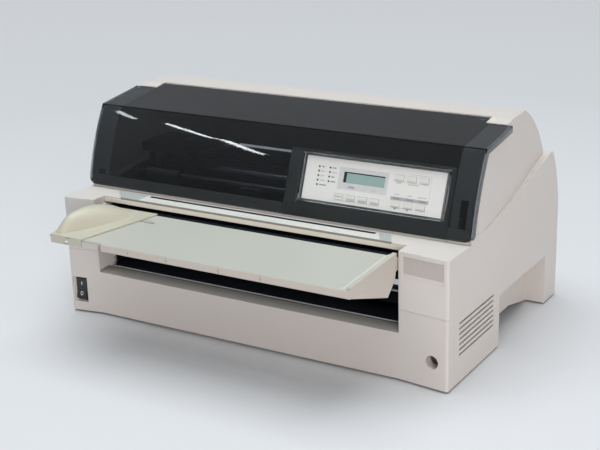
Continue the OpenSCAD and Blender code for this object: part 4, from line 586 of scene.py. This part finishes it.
# Tints and a printed line on the keys
for i in (2, 3, 4):
    x = low_row_x + (i - 1) * key_step
    tint = on_panel(x - 6.3, x + 6.3, 32.3, 35.2, key_ink_and_shade)
    print_and_painted_light(f"low_key_{i}_tint", [tint], f"low_button_{i}", "#b2b2b5")
first_line = on_panel(low_row_x - 6, low_row_x + 6, 35.6, 36.5, key_ink_and_shade)
print_and_painted_light("low_key_1_line", [first_line], "low_button_1", "#8a8b8c")
# Painted shade: grey lines along the lower edges of the top and right keys
for i in (1, 2, 3):
    x = other_rows_x + (i - 1) * key_step
    top_key_shade = on_panel(x - 5.5, x + 5.5, 70, 71, key_ink_and_shade)
    print_and_painted_light(f"top_key_{i}_line", [top_key_shade], f"top_button_{i}", "#b4b6b4")
    right_key_shade = on_panel(x - 5.5, x + 5.5, 33.4, 34.6, key_ink_and_shade)
    print_and_painted_light(f"right_key_{i}_line", [right_key_shade], f"right_button_{i}", "#b7b5ae")
# Painted shade of the bezel on the display cell, dark grey green, at the left and along the top
bezel_shade = [on_panel(118.1, 122.5, 56.9, 71.7, display_shade_depth), on_panel(122.5, 181.9, 70.2, 71.7, display_shade_depth)]
print_and_painted_light("display_border", bezel_shade, "case", "#2f3837", rough=0.2)

# Display glass: a grey green cell behind a polished window, with faint rows of dots at 0.7 mm
cell = bpy.data.materials.new("liquid_crystal_cell")
cell.use_nodes = True
cell_tree = cell.node_tree
cell_shader = cell_tree.nodes["Principled BSDF"]
cell_place = add(cell_tree, "ShaderNodeTexCoord").outputs["Object"]
cell_parts = add(cell_tree, "ShaderNodeSeparateXYZ", Vector=cell_place)
half_dot = 0.00035
saw_x = add(cell_tree, "ShaderNodeMath", {"operation": "PINGPONG"},
            Value0=cell_parts.outputs["X"], Value1=half_dot)
# The cell slopes, so its rows stand 0.93 times as far apart in height
saw_z = add(cell_tree, "ShaderNodeMath", {"operation": "PINGPONG"},
            Value0=cell_parts.outputs["Z"], Value1=half_dot * 0.93)
nearest = add(cell_tree, "ShaderNodeMath", {"operation": "MINIMUM"},
              Value0=saw_x.outputs[0], Value1=saw_z.outputs[0])
gap = add(cell_tree, "ShaderNodeMapRange", Value=nearest.outputs[0],
          From_Max=0.00008, To_Min=0.35, To_Max=0.0)
cell_tone = add(cell_tree, "ShaderNodeMix", {"data_type": "RGBA"}, Factor=gap.outputs["Result"],
                A=linear("#90a9a5"), B=linear("#7d9792"))
cell_tree.links.new(cell_tone.outputs["Result"], cell_shader.inputs["Base Color"])
cell_shader.inputs["Roughness"].default_value = 0.12
dress(["lcd_window"], cell)
# Green epoxy lamps, unlit: deep and glossy
lamp_resin = moulded("epoxy_lamp_green", "#4b5648", grain=0.8, rough=0.25, ageing=0.0)
dress(["status_lamps"], lamp_resin)


def circuit_board(name):
    """Lacquered fibreglass with copper tracks 0.4 mm wide, every 1.27 mm, across X or across Y.

    A slow noise picks which of the two, where its value lies in the low or in the high band.
    """
    made = moulded(name, "#1f4a2c", grain=1.4, rough=0.3, aged="#2b5a33", ageing=0.5)
    tree = made.node_tree
    place = add(tree, "ShaderNodeTexCoord").outputs["Object"]
    parts = add(tree, "ShaderNodeSeparateXYZ", Vector=place)
    runs = add(tree, "ShaderNodeTexNoise", Vector=place, Scale=1000 / 16, Detail=1.0)
    half_pitch, half_track = 0.000635, 0.0002
    for axis, low, high in (("X", 0.3, 0.47), ("Y", 0.53, 0.7)):
        saw = add(tree, "ShaderNodeMath", {"operation": "PINGPONG"},
                  Value0=parts.outputs[axis], Value1=half_pitch)
        thin = add(tree, "ShaderNodeMath", {"operation": "LESS_THAN"},
                   Value0=saw.outputs[0], Value1=half_track)
        over = add(tree, "ShaderNodeMath", {"operation": "GREATER_THAN"},
                   Value0=runs.outputs["Fac"], Value1=low)
        under = add(tree, "ShaderNodeMath", {"operation": "LESS_THAN"},
                    Value0=runs.outputs["Fac"], Value1=high)
        both = add(tree, "ShaderNodeMath", {"operation": "MULTIPLY"},
                   Value0=over.outputs[0], Value1=under.outputs[0])
        track = add(tree, "ShaderNodeMath", {"operation": "MULTIPLY"},
                    Value0=both.outputs[0], Value1=thin.outputs[0])
        covered(made, track.outputs[0], "#3f7a45", rough=0.3)
    return made


# Fibreglass board with lacquered tracks, behind the panel
dress(["panel_board"], circuit_board("fibreglass_panel_board"))

# ---- Side frames and paper plates ----
# Two pressed side frames of zinc-plated steel carry the rollers, the rails and the beam. The folded
# plates that lead the paper between them are phosphated steel, nearly black; their sheared front edge
# has a painted highlight.
dress(["left_frame", "right_frame"], zinc_steel)
phosphated = metal("phosphated_steel", "#34383f", low=0.42, high=0.62, grain=14.0)
# Painted highlight: a pale, barely metallic band along the plates' sheared front edge
edge_highlight = (-262.5, 35.4, 72), (242.5, 37.8, 76)
patch(phosphated, edge_highlight, "#c9cacb", rough=0.35, metallic=0.2)
dress(["paper_plates"], phosphated)

# ---- Platen, feed rollers and gears ----
# The platen bar is stove-enamelled steel. The feed and pinch shafts are ground steel with bonded
# rubber drums; the gears are moulded natural nylon and the motor's pinion is turned brass.


def beyond(tree, y, z, radius):
    """1 where the distance from a line along X through (y, z) is over the radius, in mm, else 0."""
    place = add(tree, "ShaderNodeTexCoord").outputs["Object"]
    off = add(tree, "ShaderNodeVectorMath", {"operation": "SUBTRACT"},
              Vector0=place, Vector1=fit(0, y, z).tolist())
    level = add(tree, "ShaderNodeVectorMath", {"operation": "MULTIPLY"},
                Vector0=off.outputs["Vector"], Vector1=(0, 1, 1))
    length = add(tree, "ShaderNodeVectorMath", {"operation": "LENGTH"}, Vector=level.outputs["Vector"])
    return add(tree, "ShaderNodeMath", {"operation": "GREATER_THAN"},
               Value0=length.outputs["Value"], Value1=radius / 1000).outputs[0]


platen_enamel = moulded("stove_enamel_platen", "#2b2c2f", grain=2.5, rough=0.45, ageing=0.0)
dress(["platen"], platen_enamel)
# Each shaft's depth, height and bare radius, with a little over, and the stretch that the gears take
shafts = {"front_feed_roller": (110, 163, 6.3), "rear_feed_roller": (179, 163, 6.3),
          "front_pinch_rollers": (110, 178.3, 2.8), "rear_pinch_rollers": (179, 178.3, 2.8)}
gear_from, gear_to, gear_reach = 244.2, 255, 25
pale_nylon = "#e0ddd3"
for name, (y, z, radius) in shafts.items():
    # Ground chrome shaft; the drums are dark rubber and the gear at the right end is nylon
    shaft = metal("ground_shaft_" + name, "#a9acb0", low=0.22, high=0.32, grain=4.0)
    covered(shaft, beyond(shaft.node_tree, y, z, radius), "#1d1d1f", rough=0.8)
    if name.endswith("roller"):
        gear = (gear_from, y - gear_reach, z - gear_reach), (gear_to, y + gear_reach, z + gear_reach)
        patch(shaft, gear, pale_nylon, rough=0.42)
    dress([name], shaft)
natural_nylon = moulded("nylon_natural", pale_nylon, grain=0.8, rough=0.42, aged="#d8cfae", ageing=0.25)
dress(["feed_idler_gear", "tractor_idler_gear"], natural_nylon)
dress(["motor_pinion"], metal("brass_turned", "#c7a45a", low=0.2, high=0.34, grain=2.0))

# ---- Motors ----
# Two stepping motors: square steel cans in black stove enamel. Their faces are machined bare where
# they are bolted on, one to the right frame's bracket and one under the rear beam.
machined_steel = "#a9acaf"
feed_enamel = moulded("stove_enamel_feed_motor", "#303236", grain=2.5, rough=0.38, ageing=0.0)
feed_motor_face = (255.9, 40, 100), (258.2, 180, 180)
patch(feed_enamel, feed_motor_face, machined_steel, rough=0.35, metallic=1.0)
dress(["feed_motor"], feed_enamel)
can_enamel = moulded("stove_enamel_carriage_motor", "#303236", grain=2.5, rough=0.38, ageing=0.0)
carriage_motor_face = (-260, 188, 202), (-210, 236, 205)
patch(can_enamel, carriage_motor_face, machined_steel, rough=0.35, metallic=1.0)
dress(["carriage_motor"], can_enamel)

# ---- Carriage, print head and ribbon ----
# A cast aluminium carriage slides on two ground shafts. The head is a finned black casting with
# a steel nose, and the ribbon cartridge is satin black plastic with an inked nylon ribbon.
cast_aluminium = metal("cast_aluminium", "#8f9193", low=0.45, high=0.6, grain=1.2, relief=0.08)
dress(["carriage"], cast_aluminium)
head_paint = moulded("head_enamel_matt_black", "#1c1d1f", grain=1.5, rough=0.6, ageing=0.0)
head_nose = (-222, 137, 172), (-208, 152, 193.8)
patch(head_paint, head_nose, "#b5b8bb", rough=0.3, metallic=1.0)
dress(["print_head"], head_paint)
cartridge_shell = moulded("styrene_satin_black", "#18191b", grain=1.0, rough=0.4, ageing=0.0)
ribbon = (-262, 140, 172.5), (-168, 149, 173.6)
patch(cartridge_shell, ribbon, "#0f0f12", rough=0.95)
winding_knob = (-200, 155, 250.1), (-182, 174, 256)
patch(cartridge_shell, winding_knob, "#6d6f72", rough=0.45)
dress(["ribbon_cartridge"], cartridge_shell)
# Ground and chromed shafts; the beam behind them is zinc-plated sheet
rail_chrome = metal("ground_chrome_shaft", "#a2a5a9", low=0.14, high=0.24, grain=4.0)
rear_beam = (-262.5, 187, 191.5), (242.5, 236, 206.5)
patch(rail_chrome, rear_beam, "#a4a7ab", rough=0.38, metallic=1.0)
dress(["carriage_rails"], rail_chrome)

# ---- Pulleys and belt ----
# Two turned aluminium pulleys with fine tool rings, one on the carriage motor's shaft and one on a
# stud of the rear beam. The belt round them is moulded neoprene with teeth every 2 mm.


def lined(material, axis, pitch, relief):
    """Raised lines across one axis: a triangle wave of `pitch` mm lifts the surface by `relief` mm."""
    tree = material.node_tree
    place = add(tree, "ShaderNodeTexCoord").outputs["Object"]
    parts = add(tree, "ShaderNodeSeparateXYZ", Vector=place)
    wave = add(tree, "ShaderNodeMath", {"operation": "PINGPONG"},
               Value0=parts.outputs[axis], Value1=pitch / 2000)
    share = add(tree, "ShaderNodeMapRange", Value=wave.outputs[0], From_Max=pitch / 2000)
    bump = add(tree, "ShaderNodeBump", Strength=0.8, Distance=relief / 1000, Height=share.outputs["Result"])
    into = tree.nodes["Principled BSDF"].inputs["Normal"]
    if into.is_linked:
        tree.links.new(into.links[0].from_socket, bump.inputs["Normal"])
    tree.links.new(bump.outputs["Normal"], into)
    return material


turned_aluminium = metal("turned_aluminium", "#c2c4c7", low=0.2, high=0.3, grain=3.0)
dress(["drive_pulley", "idler_pulley"], lined(turned_aluminium, axis="Z", pitch=0.4, relief=0.05))
neoprene = moulded("neoprene_belt_black", "#141415", grain=1.0, rough=0.8, ageing=0.0, gloss=0.3)
dress(["drive_belt"], lined(neoprene, axis="X", pitch=2.0, relief=0.5))

# ---- Tractors ----
# Two pin tractors of satin dark nylon slide on a square ground shaft. Each has a hinged door over
# a natural nylon wheel with pins half an inch apart.
tractor_nylon = moulded("nylon_glass_filled_dark", "#46494d", grain=1.2, rough=0.5, aged="#5a5c5e",
                        ageing=0.15)
dress(["left_tractor", "right_tractor", "left_tractor_door", "right_tractor_door"], tractor_nylon)
dress(["left_sprocket", "right_sprocket"], natural_nylon)
square_steel = metal("ground_square_shaft", "#c6c8cb", low=0.14, high=0.24, grain=4.0)
tractor_gear = (gear_from, 40, 100), (gear_to, 80, 145)
patch(square_steel, tractor_gear, pale_nylon, rough=0.42)
dress(["tractor_shaft"], square_steel)

# ---- Boards, supply and fan ----
# The logic board lies on posts over the tray with its chips soldered down. The supply is a mill
# finish chassis with a transformer, two sleeved capacitors and a black heat sink.
logic = circuit_board("fibreglass_logic_board")
# What stands on it: chips in black epoxy, and a pin header in pale nylon
chips = (-61, 186, 31.75), (226, 389, 45)
patch(logic, chips, "#1b1b1d", rough=0.45)
pin_header = (-41, 299, 31.75), (35, 311, 45)
patch(logic, pin_header, "#d9d6cc", rough=0.4)
dress(["main_board"], logic)
mill_aluminium = metal("mill_finish_aluminium", "#aeb0b3", low=0.3, high=0.42, grain=20.0)
# Transformer: a varnished iron core, with its yellow winding tape showing at both ends
iron_core = (-241, 219, 26.3), (-179, 286, 75)
patch(mill_aluminium, iron_core, "#3a3330", rough=0.5)
winding = (-241, 232, 34), (-179, 273, 66)
patch(mill_aluminium, winding, "#c9a53f", rough=0.45)
# Capacitors: dark blue sleeves, bare aluminium tops
sleeves = (-167, 209, 26.3), (-134, 278, 67.8)
patch(mill_aluminium, sleeves, "#1f2a44", rough=0.35)
# Heat sink: black anodised
heat_sink = (-125.5, 214, 24.9), (-80, 331, 65)
patch(mill_aluminium, heat_sink, "#202124", rough=0.5)
dress(["power_supply"], mill_aluminium)
fan_nylon = moulded("nylon_glass_filled_black", "#1d1e20", grain=1.2, rough=0.5, aged="#2b2c2e")
dress(["fan_frame", "fan_rotor"], fan_nylon)

# ---- Mains inlet and interface connector ----
# A black moulded appliance inlet with three nickel-plated blades, and a plated shell connector
# with a dark tongue and gold contacts every 2.16 mm.
inlet_nylon = moulded("nylon_black_inlet", "#1d1e20", grain=1.2, rough=0.42, ageing=0.0)
for x, z in ((-291, 36), (-281, 36), (-286, 42)):
    blade = (x - 1.2, 384.2, z - 2.7), (x + 1.2, 397, z + 2.7)
    patch(inlet_nylon, blade, "#c3c2bb", rough=0.22, metallic=1.0)
dress(["ac_inlet"], inlet_nylon)
shell = metal("nickel_plated_shell", "#bdbcb6", low=0.2, high=0.34, grain=6.0)
tongue = (128.8, 389.5, 37.8), (171.2, 399, 42.2)
patch(shell, tongue, "#22262b", rough=0.45)
shell_tree = shell.node_tree
shell_place = add(shell_tree, "ShaderNodeTexCoord").outputs["Object"]
shell_parts = add(shell_tree, "ShaderNodeSeparateXYZ", Vector=shell_place)
half_step, half_contact = 0.00108, 0.0005
saw = add(shell_tree, "ShaderNodeMath", {"operation": "PINGPONG"},
          Value0=shell_parts.outputs["X"], Value1=half_step)
stripe = add(shell_tree, "ShaderNodeMath", {"operation": "LESS_THAN"},
             Value0=saw.outputs[0], Value1=half_contact)
contact_row = (130.5, 390, 37.8), (169.5, 397.6, 42.2)
contact = add(shell_tree, "ShaderNodeMath", {"operation": "MULTIPLY"},
              Value0=stripe.outputs[0], Value1=within(shell_tree, *contact_row))
covered(shell, contact.outputs[0], "#d8b25a", rough=0.2, metallic=1.0)
dress(["interface_connector"], shell)
